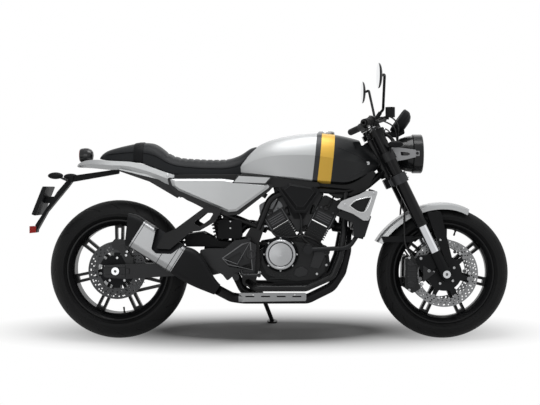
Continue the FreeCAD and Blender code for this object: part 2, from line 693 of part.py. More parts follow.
hanger = splayed([(-262, 592), (-335, 604), (-467, 505), (-516, 484), (-549, 420), (-487, 417), (-399, 492),
                  (-360, 496), (-293, 535)], 146, 12, 8)
hanger_hole = splayed([(-300, 574), (-336, 574), (-388, 530), (-360, 514), (-316, 546)], 140, 24, 6)
hanger = hanger.cut(hanger_hole)
hanger_joint = rod((-300, 88, 588), (-300, 148, 588), 12)
sub_cross = rod((-300, -90, 588), (-300, 90, 588), 9)
seat_cross = rod((-440, -74, 714), (-440, 74, 714), 9)
subframe_shape = fused(both(sub_rail) + both(sub_stay) + both(hanger) + both(hanger_joint)
                       + [sub_cross, seat_cross])
feature("subframe", subframe_shape.cut(frame_shape))

# Swingarm: two arms, pivot bosses, cross tube and the brace over the tyre
arm_in, arm_t = size("arm_inner"), size("arm_thickness")


def along_arm(share, lift):
    """A side-view point a share of the way from the pivot to the rear axle, lifted off that line."""
    at = PIVOT + (REAR_AXLE - PIVOT) * share
    return at.x, at.z + lift


arm = plate([along_arm(-0.045, 24), along_arm(-0.045, -30), along_arm(0.27, -66), along_arm(0.6, -51),
             (REAR_AXLE.x + 48, REAR_AXLE.z - 35), (REAR_AXLE.x - 54, REAR_AXLE.z - 29),
             (REAR_AXLE.x - 54, REAR_AXLE.z + 25), (REAR_AXLE.x + 38, REAR_AXLE.z + 31), along_arm(0.6, 9),
             along_arm(0.27, 32)], arm_in, arm_in + arm_t, 14)
boss = rod((PIVOT.x, pivot_in + pivot_t + 0.0, PIVOT.z), (PIVOT.x, arm_in + arm_t, PIVOT.z), 28)
cross_tube = rod((-262, -arm_in - 4, 365), (-262, arm_in + 4, 365), 24)
shock_arm = plate([(-286, 372), (-238, 372), (-246, 400), (-262, 416), (-278, 400)], -16, 16, 6)
arm_bore = rod((PIVOT.x, -200, PIVOT.z), (PIVOT.x, 200, PIVOT.z), size("axle_radius") + RUN)
axle_bore = rod((REAR_AXLE.x, -200, REAR_AXLE.z), (REAR_AXLE.x, 200, REAR_AXLE.z), size("axle_radius") + RUN)
swingarm_shape = fused(both(arm) + both(boss) + [cross_tube, shock_arm]).cut(arm_bore).cut(axle_bore)
feature("swingarm", swingarm_shape)

# Guard between the rear tyre and the shock, on the swingarm
guard_in = size("tyre_guard_plane")
cheek = plate([(-436, 475), (-354, 486), (-279, 447), (-214, 440), (-206, 426), (-208, 380), (-234, 380),
               (-238, 414), (-300, 421), (-428, 421)], guard_in, guard_in + 4)
hood = plate([(-436, 475), (-354, 486), (-338, 478), (-340, 474), (-354, 482), (-436, 471)],
             -guard_in - 2, guard_in + 2)
guard_pin = rod((-221, guard_in + 1, 390), (-221, arm_in, 390), 6)
feature("tyre_guard", fused([hood] + both(cheek) + both(guard_pin)))

# Rear axle with its collars and nuts
r_axle = size("axle_radius")
axle_end = AXLE_Y + size("axle_head_length")
rear_axle = body("rear_axle")
turned(rear_axle, "axle_bar", [(size("axle_bore"), -axle_end), (size("axle_head_radius"), -axle_end),
                               (size("axle_head_radius"), -AXLE_Y - GAP), (r_axle, -AXLE_Y - GAP),
                               (r_axle, -arm_in + GAP), (16, -arm_in + GAP), (16, -90), (r_axle, -90),
                               (r_axle, 108), (16, 108), (16, arm_in - GAP), (r_axle, arm_in - GAP),
                               (r_axle, AXLE_Y + GAP), (size("axle_head_radius"), AXLE_Y + GAP),
                               (size("axle_head_radius"), axle_end), (size("axle_bore"), axle_end)])
keep(rear_axle, "rear_axle", Placement(REAR_AXLE, Rotation()))


# Fork and yokes, drawn in the fork's own frame: x ahead of the legs, y left, z up the legs
def fork_rod(x, y, z0, z1, radius):
    return Part.makeCylinder(radius, z1 - z0, Vector(x, y, z0))


def level(points, z0, z1, radius=0.0):
    """A plan-view outline in the fork's frame as a plate from z0 to z1."""
    pts = [Vector(x, y, z0) for x, y in points]
    if radius > 0:
        first = (pts[0] + pts[-1]) * 0.5
        wire = rounded_path([tuple(p) for p in [first] + pts + [first]], radius)
    else:
        wire = Part.makePolygon(pts + [pts[0]])
    return Part.Face(wire).extrude(Vector(0, 0, z1 - z0))


outer_r, inner_r, clamp = size("fork_outer_radius"), size("fork_inner_radius"), size("clamp_wall")
LUG_BACK = -outer_r - size("clamp_lug")
stem_r = size("stem_radius")
low_z, low_h = size("lower_yoke_at"), size("lower_yoke_height")
top_z, top_h = size("top_yoke_at"), size("top_yoke_height")


def yoke_shape(z, height, nose, web):
    """A yoke: a clamp round each fork tube and a web to the steering stem."""
    clamp_ring = fork_rod(0, LEG_Y, z, z + height, outer_r + clamp)
    middle = level([(20, LEG_Y - 18), (nose, 66), (nose, -66), (20, -LEG_Y + 18), (-22, -LEG_Y + 18),
                    (STEM_BACK - web, -24), (STEM_BACK - web, 24), (-22, LEG_Y - 18)], z, z + height, 8)
    lug = Part.makeBox(size("clamp_lug") + 2, 20, height * 0.7, Vector(LUG_BACK, LEG_Y - 10, z + height * 0.15))
    solid = fused(both(clamp_ring) + [middle] + both(lug))
    bore = fork_rod(0, LEG_Y, z - 5, z + height + 5, outer_r + GAP)
    return solid.cut(bore).cut(mirrored(bore))


bottom = yoke_shape(low_z, low_h, 12, 30)
stem = fork_rod(STEM_BACK, 0, low_z + 4, top_z - GAP, stem_r)
bottom = fused([bottom, stem]).cut(fork_rod(STEM_BACK, 0, low_z - 10, top_z + 50, size("stem_bore")))
feature("bottom_yoke", bottom, FORK)

BAR_AHEAD, BAR_UP = size("bar_ahead"), size("bar_up")
NOSE = 36
riser = fork_rod(BAR_AHEAD, 46, top_z + top_h - 1, BAR_UP + 15, 16)
stem_nut = fork_rod(STEM_BACK, 0, top_z + top_h - 1, top_z + top_h + 14, 17)
top = fused([yoke_shape(top_z, top_h, NOSE, 26), stem_nut] + both(riser))
top = top.cut(fork_rod(STEM_BACK, 0, top_z - 5, top_z + top_h + 60, size("stem_bore")))
bar_hole = Part.makeCylinder(size("bar_radius") + GAP, 200, Vector(BAR_AHEAD, -100, BAR_UP), AXIS_Y)
top_shape = top.cut(bar_hole)
feature("top_yoke", top_shape, FORK)

outer_start, fork_top = size("fork_outer_start"), size("fork_top")
fork_tube = body("fork_tube_left")
turn = [(0, fork_top), (0, fork_top - 14), (inner_r + GAP, fork_top - 14), (inner_r + GAP, outer_start),
        (outer_r + 1.5, outer_start), (outer_r + 1.5, outer_start + 10), (outer_r, outer_start + 14),
        (outer_r, fork_top - 3), (outer_r - 3, fork_top)]
turned(fork_tube, "fork_tube_round", [(r, z) for r, z in turn])
fork_tube.Placement = Placement(Vector(0, LEG_Y, 0), Rotation(AXIS_X, 90))
both_sides("fork_tubes", fork_tube, FORK)

axle_r = size("axle_radius")
foot = loft([Part.Wire(Part.makeCircle(26, Vector(0, LEG_Y, -28), AXIS_Z)),
             Part.Wire(Part.makeCircle(27, Vector(0, LEG_Y, 30), AXIS_Z)),
             Part.Wire(Part.makeCircle(25, Vector(0, LEG_Y, size("fork_foot_top")), AXIS_Z))])
stanchion = fork_rod(0, LEG_Y, size("fork_foot_top") - 2, fork_top - 60, inner_r)
caliper_lugs = plate([(-78, 128), (-92, 120), (-92, 44), (-78, 30), (0, 52), (0, 100)], LEG_Y - 6, LEG_Y + 6, 6)
foot_bore = rod((0, 0, 0), (0, 160, 0), axle_r + RUN)
leg = fused([foot, stanchion, caliper_lugs]).cut(foot_bore)
feature("fork_legs", Part.Compound([leg, mirrored(leg)]), FORK)

front_axle = body("front_axle")
y_out = LEG_Y + 27 + GAP
turned(front_axle, "front_axle_bar",
       [(size("axle_bore"), -y_out - 10), (size("axle_head_radius"), -y_out - 10),
        (size("axle_head_radius"), -y_out), (axle_r, -y_out), (axle_r, -LEG_Y + 27 + GAP), (15, -LEG_Y + 27 + GAP),
        (15, -y_hub - 2), (axle_r, -y_hub - 2), (axle_r, y_hub + 2), (15, y_hub + 2), (15, LEG_Y - 27 - GAP),
        (axle_r, LEG_Y - 27 - GAP), (axle_r, y_out), (size("axle_head_radius"), y_out),
        (size("axle_head_radius"), y_out + 10), (size("axle_bore"), y_out + 10)])
keep(front_axle, "front_axle", Placement(FRONT_AXLE, Rotation()))

# Front mudguard, a lofted hood over the tyre, and its stays
GUARD_ARC = [(68, 1), (82, 7), (98, 8), (114, 9), (130, 12), (143, 19), (155, 27)]


def guard_section(angle, lift):
    """The hood's section at an angle round the front axle, as a closed wire."""
    out = Vector(cos(angle), 0, sin(angle))
    half, wall, base = size("guard_half_width"), size("guard_wall"), size("guard_radius") + lift
    outer = [(half, -32), (half - 5, -12), (half - 20, -3), (0, 0), (20 - half, -3), (5 - half, -12), (-half, -32)]
    inner = [(y - math.copysign(wall, y) if abs(y) > 1 else 0.0, r - (0 if abs(y) == half else wall))
             for y, r in outer[::-1]]
    pts = [FRONT_AXLE + out * (base + r) + Vector(0, y, 0) for y, r in outer + inner]
    return Part.makePolygon(pts + [pts[0]])


guard = loft([guard_section(angle, lift) for angle, lift in GUARD_ARC])
feature("front_mudguard", guard)

guard_y = size("guard_half_width") + GAP
front_stay = plate([(654, 578), (716, 580), (730, 519), (772, 348), (745, 338), (676, 515)], 98, 106, 6)
stay_bridge = plate([(658, 572), (712, 574), (720, 540), (672, 540)], guard_y, 99, 6)
rear_stay = plate([(452, 466), (604, 468), (598, 440), (462, 440)], guard_y, guard_y + 7, 6)
foot_pin = rod((752, 100, 352), (722, LEG_Y, 345), 6)
stays = fused([front_stay, stay_bridge, rear_stay, rod((590, guard_y + 3, 456), (655, LEG_Y - 10, 470), 7), foot_pin,
               plate([(590, 456), (700, 556), (716, 530), (604, 440)], guard_y, guard_y + 5)])
stays = stays.cut(placed(leg, FORK))
feature("mudguard_stays", Part.Compound([stays, mirrored(stays)]))

# Front calipers, straddling the discs
caliper = plate([(560, 368), (588, 376), (622, 356), (640, 330), (640, 250), (616, 226), (588, 212), (556, 236)],
                y_disc - 24, LEG_Y - 6 - GAP, 10)
slot = plate([(500, 450), (700, 450), (700, 150), (500, 150)], y_disc - disc_t / 2 - size("pad_gap"),
             y_disc + disc_t / 2 + size("pad_gap"))
slot = slot.common(Part.makeCylinder(size("front_disc_radius") + 5, 200, FRONT_AXLE, AXIS_Y))
carrier_room = Part.makeCylinder(size("front_disc_inner") + 10, 200, FRONT_AXLE, AXIS_Y)
caliper = caliper.cut(slot).cut(carrier_room)
feature("front_calipers", Part.Compound([caliper, mirrored(caliper)]))

# Handlebar with grips, in the fork's frame but drawn from points of the upright machine
bar_at = fork_point(BAR_AHEAD, 0, BAR_UP)
GRIP_IN, GRIP_OUT = Vector(388, size("bar_end_y") - size("grip_length"), 977), Vector(348, size("bar_end_y"), 961)
bar_dir = Vector(GRIP_OUT - GRIP_IN).normalize()
tip = GRIP_OUT + bar_dir * 12
half_bar = [(bar_at.x, 82, bar_at.z), tuple(GRIP_IN - bar_dir * 100), tuple(tip)]
bar = tube([(x, -y, z) for x, y, z in half_bar[::-1]] + half_bar, size("bar_radius"), 90)
bar_end = rod(tip + bar_dir * 5, tip - bar_dir * size("bar_bore_depth"), size("bar_bore"))
feature("handlebar", bar.cut(bar_end).cut(mirrored(bar_end)))
grip = rod(GRIP_IN, GRIP_OUT, size("grip_radius")).cut(rod(GRIP_IN - bar_dir * 9, GRIP_OUT + bar_dir * 9,
                                                           size("bar_radius") + GAP))
feature("grips", Part.Compound([grip, mirrored(grip)]))

# Switch housings, levers and the brake reservoir
HOUSE_OUT, HOUSE_IN = GRIP_IN - bar_dir * 1.0, GRIP_IN - bar_dir * 44
house = rod(HOUSE_IN, HOUSE_OUT, 20)
perch_at = HOUSE_IN + Vector(0, -10, 0)
perch = rod(perch_at - bar_dir * 14, perch_at + bar_dir * 12, 17)
arm_out = perch_at + Vector(46, 14, 4)
lever = tube([tuple(perch_at), tuple(arm_out), tuple(arm_out + Vector(4, 50, -6)), (404, 384, 962)], 6, 30)
mirror_foot = rod(perch_at + Vector(10, 0, 0), perch_at + Vector(34, 0, 34), 9)
bar_bore = rod(GRIP_IN - bar_dir * 120, GRIP_OUT, size("bar_radius") + GAP)
controls = [house, perch, lever, mirror_foot]
pot_at = perch_at + Vector(76, 12, 13)
pot = [Part.makeCylinder(21, 44, pot_at, AXIS_Z), Part.makeBox(66, 12, 12, perch_at + Vector(4, 8, 3))]
feature("hand_controls", Part.Compound([fused(controls).cut(bar_bore),
                                        mirrored(fused(controls + pot).cut(bar_bore))]))

# Mirrors
MIRROR_AT = Vector(408, 400, 1158)
stalk_foot = perch_at + Vector(34, 0, 34)
stalk = tube([tuple(stalk_foot + Vector(0.3, 0, 0.3)), tuple(stalk_foot + Vector(12, 0, 12)), (436, 372, 1166),
              tuple(MIRROR_AT + Vector(8, 0, 0))], 6, 20)
shell = Part.makeSphere(1.0)
stretch = FreeCAD.Matrix()
stretch.scale(14, size("mirror_width") / 2, size("mirror_height") / 2)
shell = shell.transformGeometry(stretch).common(Part.makeBox(40, 200, 200, Vector(-3, -100, -100)))
shell.translate(MIRROR_AT)
mirror = fused([stalk, shell])
feature("mirrors", Part.Compound([mirror, mirrored(mirror)]))

# Headlamp: turned shell, domed lens, side bracket on the fork tubes
lamp_r, lamp_x, lamp_z = size("headlamp_radius"), size("headlamp_x"), size("headlamp_z")
headlamp = body("headlamp")
turned(headlamp, "headlamp_shell",
       [(0, lamp_x - 130), (26, lamp_x - 130), (48, lamp_x - 122), (70, lamp_x - 100), (80, lamp_x - 70),
        (lamp_r - 5, lamp_x - 46), (lamp_r, lamp_x - 42), (lamp_r, lamp_x - 4), (lamp_r - 3, lamp_x),
        (lamp_r - 8, lamp_x), (lamp_r - 8, lamp_x - 14), (0, lamp_x - 14)])
TURN_X = Rotation(AXIS_Z, -90)
keep(headlamp, "headlamp", Placement(Vector(0, 0, lamp_z), TURN_X))
lens = body("headlamp_lens")
turned(lens, "headlamp_glass",
       [(0, lamp_x - 14 + GAP), (lamp_r - 8 - GAP, lamp_x - 14 + GAP), (lamp_r - 8 - GAP, lamp_x - 3),
        (lamp_r * 0.7, lamp_x + 3), (lamp_r * 0.36, lamp_x + 7), (0, lamp_x + 8)])
keep(lens, "headlamp_lens", Placement(Vector(0, 0, lamp_z), TURN_X))

collar = fork_rod(0, LEG_Y, 566, 606, outer_r + 5).cut(fork_rod(0, LEG_Y, 560, 610, outer_r + GAP))
collar.transformShape(FORK.toMatrix())
side = plate([(486, 868), (530, 867), (606, 857), (606, 824), (552, 811), (484, 800)], lamp_r + GAP, lamp_r + 6, 4)
side = side.cut(plate([(536, 848), (570, 845), (584, 838), (570, 831), (540, 831)], lamp_r - 5, lamp_r + 10, 4))
tube_room = rod(fork_point(0, LEG_Y, 400), fork_point(0, LEG_Y, 720), outer_r + GAP)
lamp_bolt = rod((612, lamp_r + 3, lamp_z), (612, lamp_r + 9, lamp_z), 7)
holder = fused([collar, side, lamp_bolt, plate([(590, 852), (622, 852), (622, 829), (590, 829)],
                                               lamp_r + GAP, lamp_r + 6)]).cut(tube_room)
feature("headlamp_bracket", Part.Compound([holder, mirrored(holder)]))

# Instrument: a round pod facing the rider, on an arm from the top yoke
pod_body = body("instrument_pod")
turned(pod_body, "instrument_round",
       [(0, -20), (30, -20), (46, -12), (58, 2), (60, 10), (60, 28), (56, 32), (53, 32), (53, 29), (0, 29)])
doc.recompute()
pod_out = Rotation(AXIS_Y, Vector(-0.82, 0, 0.57))
pod_shape = placed(pod_body.Shape, Placement(Vector(558, 0, 980), pod_out))
pod_arm = plate([(452, 938), (470, 922), (532, 916), (566, 934), (560, 962), (530, 944)], -17, 17, 8)
pod_arm = pod_arm.cut(placed(top_shape, FORK))
feature("instrument", fused([pod_shape, max(pod_arm.Solids, key=lambda piece: piece.Volume)]))
stalk = fused([rod((486, 130, 868), (500, 178, 876), 5), rod((486, 130, 868), (486, 130, 842), 5)])
pod = Part.makeSphere(1.0)
stretch = FreeCAD.Matrix()
stretch.scale(34, 13, 15)
pod = pod.transformGeometry(stretch)
pod.translate(Vector(504, 184, 878))
indicator = fused([stalk, pod]).cut(collar).cut(tube_room)
feature("front_indicators", Part.Compound([indicator, mirrored(indicator)]))


# Engine: crankcase, two cylinders in a V, covers
case_y = 62.0
crankcase = body("crankcase")
slab(crankcase, "case_middle", -case_y, case_y,
     wires=[[(-118, 340), (-96, 300), (-60, 262), (60, 252), (150, 256), (200, 290), (222, 340), (214, 400),
             (176, 446), (92, 462), (0, 462), (-44, 440), (-74, 415), (-96, 400)]])
slab(crankcase, "case_right", -size("crankcase_half_width"), -case_y,
     wires=[[(-84, 400), (-88, 350), (-66, 300), (-20, 280), (70, 268), (158, 276), (196, 310), (200, 372),
             (168, 420), (96, 440), (6, 452), (-56, 436)]])
slab(crankcase, "case_left", case_y, size("crankcase_half_width") - 4,
     wires=[[(8, 290), (70, 268), (158, 276), (196, 310), (200, 372), (168, 420), (96, 440), (20, 440), (-2, 420)]])
slab(crankcase, "case_sump", -54, 54, wires=[[(-40, 266), (-28, 246), (120, 246), (140, 262)]])
keep(crankcase, "crankcase")


def bank_placement(angle):
    """The frame of a cylinder: z along its bore from the crankshaft, x to the rear of it or ahead."""
    return Placement(CRANK, Rotation(AXIS_Y, angle))


def cylinder_shape(angle, offset_y, out):
    """Barrel with fins, head and cam cover; out is +1 where the outside of the V lies to +x of the bore."""
    deck, long, deep, wide = (size("deck_height"), size("cylinder_length"), size("cylinder_depth"),
                              size("cylinder_half_width"))
    d = deep / 2
    barrel = Part.makeBox(deep - 14, 2 * (wide - 9), long * 0.45, Vector(-d + 7, -wide + 9, deck - 22))
    solids = [barrel]
    fins = int(size("fin_count"))
    for i in range(fins):
        z = deck + 6 + i * 11
        fin = Part.makeBox(deep, 2 * wide, size("fin_height"), Vector(-d, -wide, z))
        solids.append(fin)
    head_z = deck + 6 + fins * 11
    head = Part.makeBox(deep + 6, 2 * wide - 4, 62, Vector(-d - 3, -wide + 2, head_z - 1))
    solids.append(head)
    cover_z = head_z + 60
    cover = plate([(-d - 6, cover_z), (-d - 6, cover_z + 26), (-d + 12, deck + long), (d - 12, deck + long),
                   (d + 6, cover_z + 26), (d + 6, cover_z)], -wide + 4, wide - 4, 9)
    solids.append(cover)
    port = rod((out * (d - 6), 0, head_z + 24), (out * (d + 16), 0, head_z + 12), 26)
    solids.append(port)
    shape = fused(solids)
    shape.translate(Vector(0, offset_y, 0))
    return placed(shape, bank_placement(angle))


doc.recompute()
case_shape = crankcase.Shape.copy()
rear_bank = cylinder_shape(-size("rear_bank_angle"), -8, -1).cut(case_shape)
front_bank = cylinder_shape(size("front_bank_angle"), 8, 1).cut(case_shape)
feature("cylinders", Part.Compound([rear_bank, front_bank]))

clutch_cover = body("clutch_cover")
clutch_r, case_face = size("clutch_cover_radius"), -size("crankcase_half_width")
lid = case_face - size("clutch_cover_depth")
turned(clutch_cover, "clutch_cover_round",
       [(0, case_face), (clutch_r - 8, case_face), (clutch_r, case_face - 6), (clutch_r, case_face - 20),
        (clutch_r - 10, lid + 14), (clutch_r - 13, lid + 2), (clutch_r - 16, lid), (clutch_r - 22, lid),
        (clutch_r - 25, lid + 4), (0, lid + 1)])
clutch_cover.Placement = Placement(Vector(size("clutch_x"), 0, size("clutch_z")), Rotation())
left_face = size("crankcase_half_width") - 4
generator = fused([rod((CRANK.x, left_face, CRANK.z), (CRANK.x, left_face + 30, CRANK.z), 76),
                   rod((CRANK.x, left_face + 29, CRANK.z), (CRANK.x, left_face + 40, CRANK.z), 54),
                   plate([(26, 440), (-20, 452), (-94, 440), (-102, 385), (-92, 326), (0, 312), (40, 330)],
                         115, 128, 14),
                   plate([(18, 420), (60, 420), (60, 340), (18, 340)], left_face, 120)])
cover_set = doc.addObject("Part::Feature", "generator_cover")
cover_set.Shape = generator
covers = doc.addObject("Part::Compound", "engine_covers")
covers.Links = [clutch_cover, cover_set]
keep(covers, "engine_covers")

# Air box between the cylinders with its side covers
airbox = plate([(2, 652), (158, 652), (104, 545), (58, 545)], -60, 60, 8)
airbox_side = plate([(-20, 685), (27, 722), (151, 701), (175, 666), (111, 574), (60, 574)], 102, 122, 8)
airbox_face = loft([outline([(-8, 684), (32, 712), (144, 694), (163, 666), (106, 584), (64, 584)], 6, 121),
                    outline([(14, 676), (40, 696), (132, 682), (144, 664), (100, 604), (70, 604)], 6, 134)])
airbox_link = rod((82, 50, 616), (82, 106, 616), 14)
airbox_shape = fused([airbox] + both(airbox_side) + both(airbox_face) + both(airbox_link))
feature("airbox_covers", airbox_shape.cut(frame_shape).cut(rear_bank).cut(front_bank))

# Radiator with side panels, cap and water pipe; silver shrouds outside it
RAD = Placement(Vector(372, 0, 560), Rotation(AXIS_Y, size("radiator_tilt")))
rad_y, rad_h, rad_d = size("radiator_half_width"), size("radiator_height"), size("radiator_depth")
core = placed(Part.makeBox(rad_d, 2 * rad_y, rad_h, Vector(-rad_d / 2, -rad_y, -rad_h / 2)), RAD)
fan = placed(Part.makeCylinder(74, 26, Vector(-rad_d / 2 - 25, 0, 0), AXIS_X), RAD)
side_low = plate([(240, 566), (319, 528), (322, 468), (370, 466), (400, 560), (300, 600)], rad_y - 2, rad_y + 8, 6)
neck = rod((398, 92, 640), (409, 92, 677), 15)
pump = rod((119, -size("crankcase_half_width"), 411), (119, -160, 411), 21)
water_pipe = tube([(121, -148, 411), (300, -148, 418), (352, -126, 492)], 10, 60)
rad_mount = rod((300, 58, 664), (376, 60, 640), 8)
radiator_shape = fused([core, fan] + both(side_low) + [mirrored(neck)] + both(rad_mount)).cut(frame_shape)
feature("radiator", radiator_shape)
feature("water_pipe", fused([pump, water_pipe]).cut(case_shape).cut(radiator_shape))

SHROUD = [(244, 598), (266, 627), (346, 657), (375, 672), (428, 672), (387, 541), (364, 541), (317, 571)]
HOLE = [(300, 606), (330, 632), (398, 648), (366, 578), (340, 578)]
shroud_y = rad_y + 8 + GAP
shroud = plate(SHROUD, shroud_y, shroud_y + 14, 7)
shroud = shroud.cut(plate(HOLE, shroud_y + 4, shroud_y + 20, 5))
shroud_pin = rod((384, rad_y + GAP, 600), (384, shroud_y + 5, 600), 8)
shroud = fused([shroud, shroud_pin])
feature("radiator_shrouds", Part.Compound([shroud, mirrored(shroud)]))

# Exhaust: a header from each cylinder into one pipe, and a short silencer on the right
front_port = bank_placement(size("front_bank_angle")).multVec(Vector(size("cylinder_depth") / 2 + 16, 8, 202))
rear_port = bank_placement(-size("rear_bank_angle")).multVec(Vector(-size("cylinder_depth") / 2 - 16, -8, 202))
head_r = size("header_radius")
SIL = Placement(Vector(-451, size("silencer_plane"), 370), Rotation(AXIS_Y, size("silencer_tilt")))
pipe_end = SIL.multVec(Vector(214, 0, -20))
front_header = tube([tuple(front_port), (300, -26, 500), (296, -60, 400), (272, -76, 306), (228, -84, 240),
                     (120, -90, 187), (-170, -96, 187), (-222, -128, 198), tuple(pipe_end)], head_r, 60)
rear_header = tube([tuple(rear_port), (-150, -36, 530), (-206, -41, 470), (-210, -41, 300), (-170, -60, 222),
                    (-100, -86, 194)], head_r - 3, 50)
shield = plate([(-190, 216), (112, 216), (112, 180), (-190, 176)], -122, -116, 8)
for i in range(4):
    slot_x = -160 + i * 70
    shield = shield.cut(plate([(slot_x, 203), (slot_x + 40, 203), (slot_x + 40, 197), (slot_x, 197)],
                              -130, -110, 2))
shield_tabs = [rod((x, -90, 196), (x, -118, 196), 8) for x in (-105, 35)]
exhaust_shape = fused([front_header, rear_header, shield] + shield_tabs)
feature("exhaust_pipes", exhaust_shape.cut(rear_bank).cut(front_bank).cut(frame_shape))


def silencer_section(x, width, height, lift=0.0):
    """A flat-sided oval across the silencer, in its own frame."""
    side, top = width / 2, height / 2
    corners = ((0, top), (side, top), (side, -top), (-side, -top), (-side, top), (0, top))
    return rounded_path([(x, y, z + lift) for y, z in corners], min(side, top) * 0.62)


can_w, can_h, can_long = size("silencer_width"), size("silencer_height"), size("silencer_length")
can = loft([silencer_section(-can_long, can_w, can_h), silencer_section(0, can_w - 4, can_h - 6)])
recess = mirrored(splayed([(-440, 560), (-500, 540), (-548, 500), (-566, 420), (-546, 400), (-478, 398),
                           (-384, 470)], 140, 80, 14))
can = can.cut(placed(recess, SIL.inverse()))
hanger_bolt = mirrored(rod((-514, 170, 446), (-514, 212, 446), 11).cut(hanger))
feature("silencer", fused([can, placed(hanger_bolt, SIL.inverse())]), SIL)
rear_cap = loft([silencer_section(-can_long - GAP, can_w, can_h),
                 silencer_section(-can_long - 60, can_w - 8, can_h - 10),
                 silencer_section(-can_long - 92, can_w - 34, can_h - 44)])
slant = Part.makeBox(200, 300, 300, Vector(-200, -150, -150))
slant.Placement = Placement(Vector(-256, 0, -16), Rotation(AXIS_Y, -27))
rear_cap = rear_cap.cut(slant).cut(Part.makeCylinder(24, 60, Vector(-300, 0, -10), AXIS_X))
cone = loft([silencer_section(GAP, can_w - 4, can_h - 6), silencer_section(78, can_w - 8, can_h - 4),
             silencer_section(150, 72, 86, -14), silencer_section(214, 50, 50, -20)])
cone = cone.cut(placed(front_header, SIL.inverse()))
feature("silencer_caps", Part.Compound([rear_cap, cone]), SIL)


# Fuel tank: sections across the machine from the seat to the steering head
# rows: x, top, widest height, foot height, half width at the widest, half width at the foot, top half width
TANK = [(-222, 762, 758, 752, 46, 44, 20), (-187, 802, 778, 750, 84, 84, 40), (-109, 872, 812, 742, 112, 108, 62),
        (-52, 900, 826, 736, 126, 120, 72), (17, 918, 832, 730, 136, 128, 80), (99, 930, 832, 721, 141, 132, 84),
        (164, 934, 828, 713, 141, 130, 84), (245, 928, 816, 707, 134, 122, 78), (302, 917, 806, 707, 120, 110, 68),
        (355, 903, 798, 728, 99, 92, 54), (392, 886, 793, 746, 80, 74, 40), (424, 854, 791, 764, 66, 60, 30),
        (447, 818, 796, 782, 54, 50, 24)]


def tank_section(row):
    x, top, wide_z, foot_z, wide, foot, crown = row
    half = [(0, top), (crown, top - (top - wide_z) * 0.12), (wide * 0.9, wide_z + (top - wide_z) * 0.36),
            (wide, wide_z), (foot, foot_z + 6), (foot * 0.86, foot_z - 2), (0, foot_z + 2)]
    upper = [Vector(x, y, z) for y, z in half]
    lower = [Vector(x, -y, z) for y, z in half[::-1]]
    skin = Part.BSplineCurve()
    skin.interpolate(Points=[Vector(x, -y, z) for y, z in half[3::-1]] + upper[1:4])
    floor = Part.BSplineCurve()
    floor.interpolate(Points=upper[4:] + lower[1:3])
    sides = [Part.LineSegment(upper[3], upper[4]), Part.LineSegment(lower[2], lower[3])]
    return Part.Wire([skin.toShape(), sides[0].toShape(), floor.toShape(), sides[1].toShape()])


tank = loft([tank_section(row) for row in TANK])
head_room = rod(fork_point(STEM_BACK, 0, 380), fork_point(STEM_BACK, 0, 760), size("head_tube_radius") + 4)
lock, room = size("steering_lock"), size("steering_room")


def swung_back(x, y):
    """How far back a point of the steering comes at full lock, with free room, in the fork's frame."""
    return STEM_BACK + (x - STEM_BACK) * cos(lock) - y * sin(lock) - room


lug_swing, web_swing = swung_back(LUG_BACK, LEG_Y + 10), swung_back(-22, LEG_Y - 18)
yoke_room = placed(level([(web_swing, 44), (lug_swing, 76), (lug_swing, 220), (140, 220), (140, -220),
                          (lug_swing, -220), (lug_swing, -76), (web_swing, -44)],
                         top_z - room, top_z + 220, 14), FORK)
CAP = Placement(Vector(207, 0, 926), Rotation(AXIS_Y, 0.5))
cap_pocket = placed(Part.makeCylinder(38 + GAP, 60, Vector(0, 0, 0)), CAP)
tank = tank.cut(head_room).cut(yoke_room).cut(cap_pocket).cut(frame_shape)
tank = max(tank.Solids, key=lambda piece: piece.Volume)
feature("fuel_tank", tank)
cap = body("fuel_cap")
turned(cap, "fuel_cap_round", [(0, 0), (38, 0), (38, 12), (35, 15), (24, 15), (22, 13), (0, 13)])
keep(cap, "fuel_cap", CAP.multiply(Placement(Vector(0, 0, GAP), Rotation(AXIS_X, 90))))

# Seat: a cushion with a raised back, on a base
# rows: x, top, foot, half width, edge drop
SEAT_ROWS = [(-822, 828, 817, 40), (-806, 845, 814, 66), (-774, 862, 811, 84), (-706, 880, 806, 96),
             (-638, 892, 800, 102), (-580, 889, 780, 106), (-543, 870, 766, 110), (-510, 844, 753, 112),
             (-457, 824, 742, 114), (-366, 817, 732, 115), (-299, 815, 730, 112), (-240, 818, 731, 104),
             (-185, 836, 745, 90), (-140, 866, 800, 74), (-112, 874, 850, 66)]


def cushion_section(row):
    x, top, foot, wide = row
    tall = top - foot
    half = [(0, top), (wide * 0.62, top - tall * 0.1), (wide * 0.93, top - tall * 0.42), (wide, foot + tall * 0.1),
            (wide * 0.96, foot)]
    skin = Part.BSplineCurve()
    skin.interpolate(Points=[Vector(x, -y, z) for y, z in half[::-1]] + [Vector(x, y, z) for y, z in half[1:]])
    base = Part.LineSegment(Vector(x, half[-1][0], foot), Vector(x, -half[-1][0], foot))
    return Part.Wire([skin.toShape(), base.toShape()])


seat = loft([cushion_section(row) for row in SEAT_ROWS])
seat = seat.cut(tank)
feature("seat", max(seat.Solids, key=lambda piece: piece.Volume))
seat_shape = NODES[-1][1].Shape.copy()

# Tail cowl, the shell under the seat
COWL = [(-928, 786, 781, 26), (-915, 797, 778, 46), (-825, 812, 772, 84), (-744, 806, 767, 98), (-699, 804, 765, 102),
        (-610, 788, 739, 108), (-542, 764, 716, 112), (-500, 750, 699, 114), (-466, 741, 700, 114)]


def cowl_section(row):
    x, top, foot, wide = row
    return outline_across(x, [(-wide, top), (wide, top), (wide + 2, (top + foot) / 2), (wide - 8, foot),
                              (8 - wide, foot), (-wide - 2, (top + foot) / 2)])


def outline_across(x, points):
    """A closed polygon across the machine at x."""
    pts = [Vector(x, y, z) for y, z in points]
    return Part.makePolygon(pts + [pts[0]])


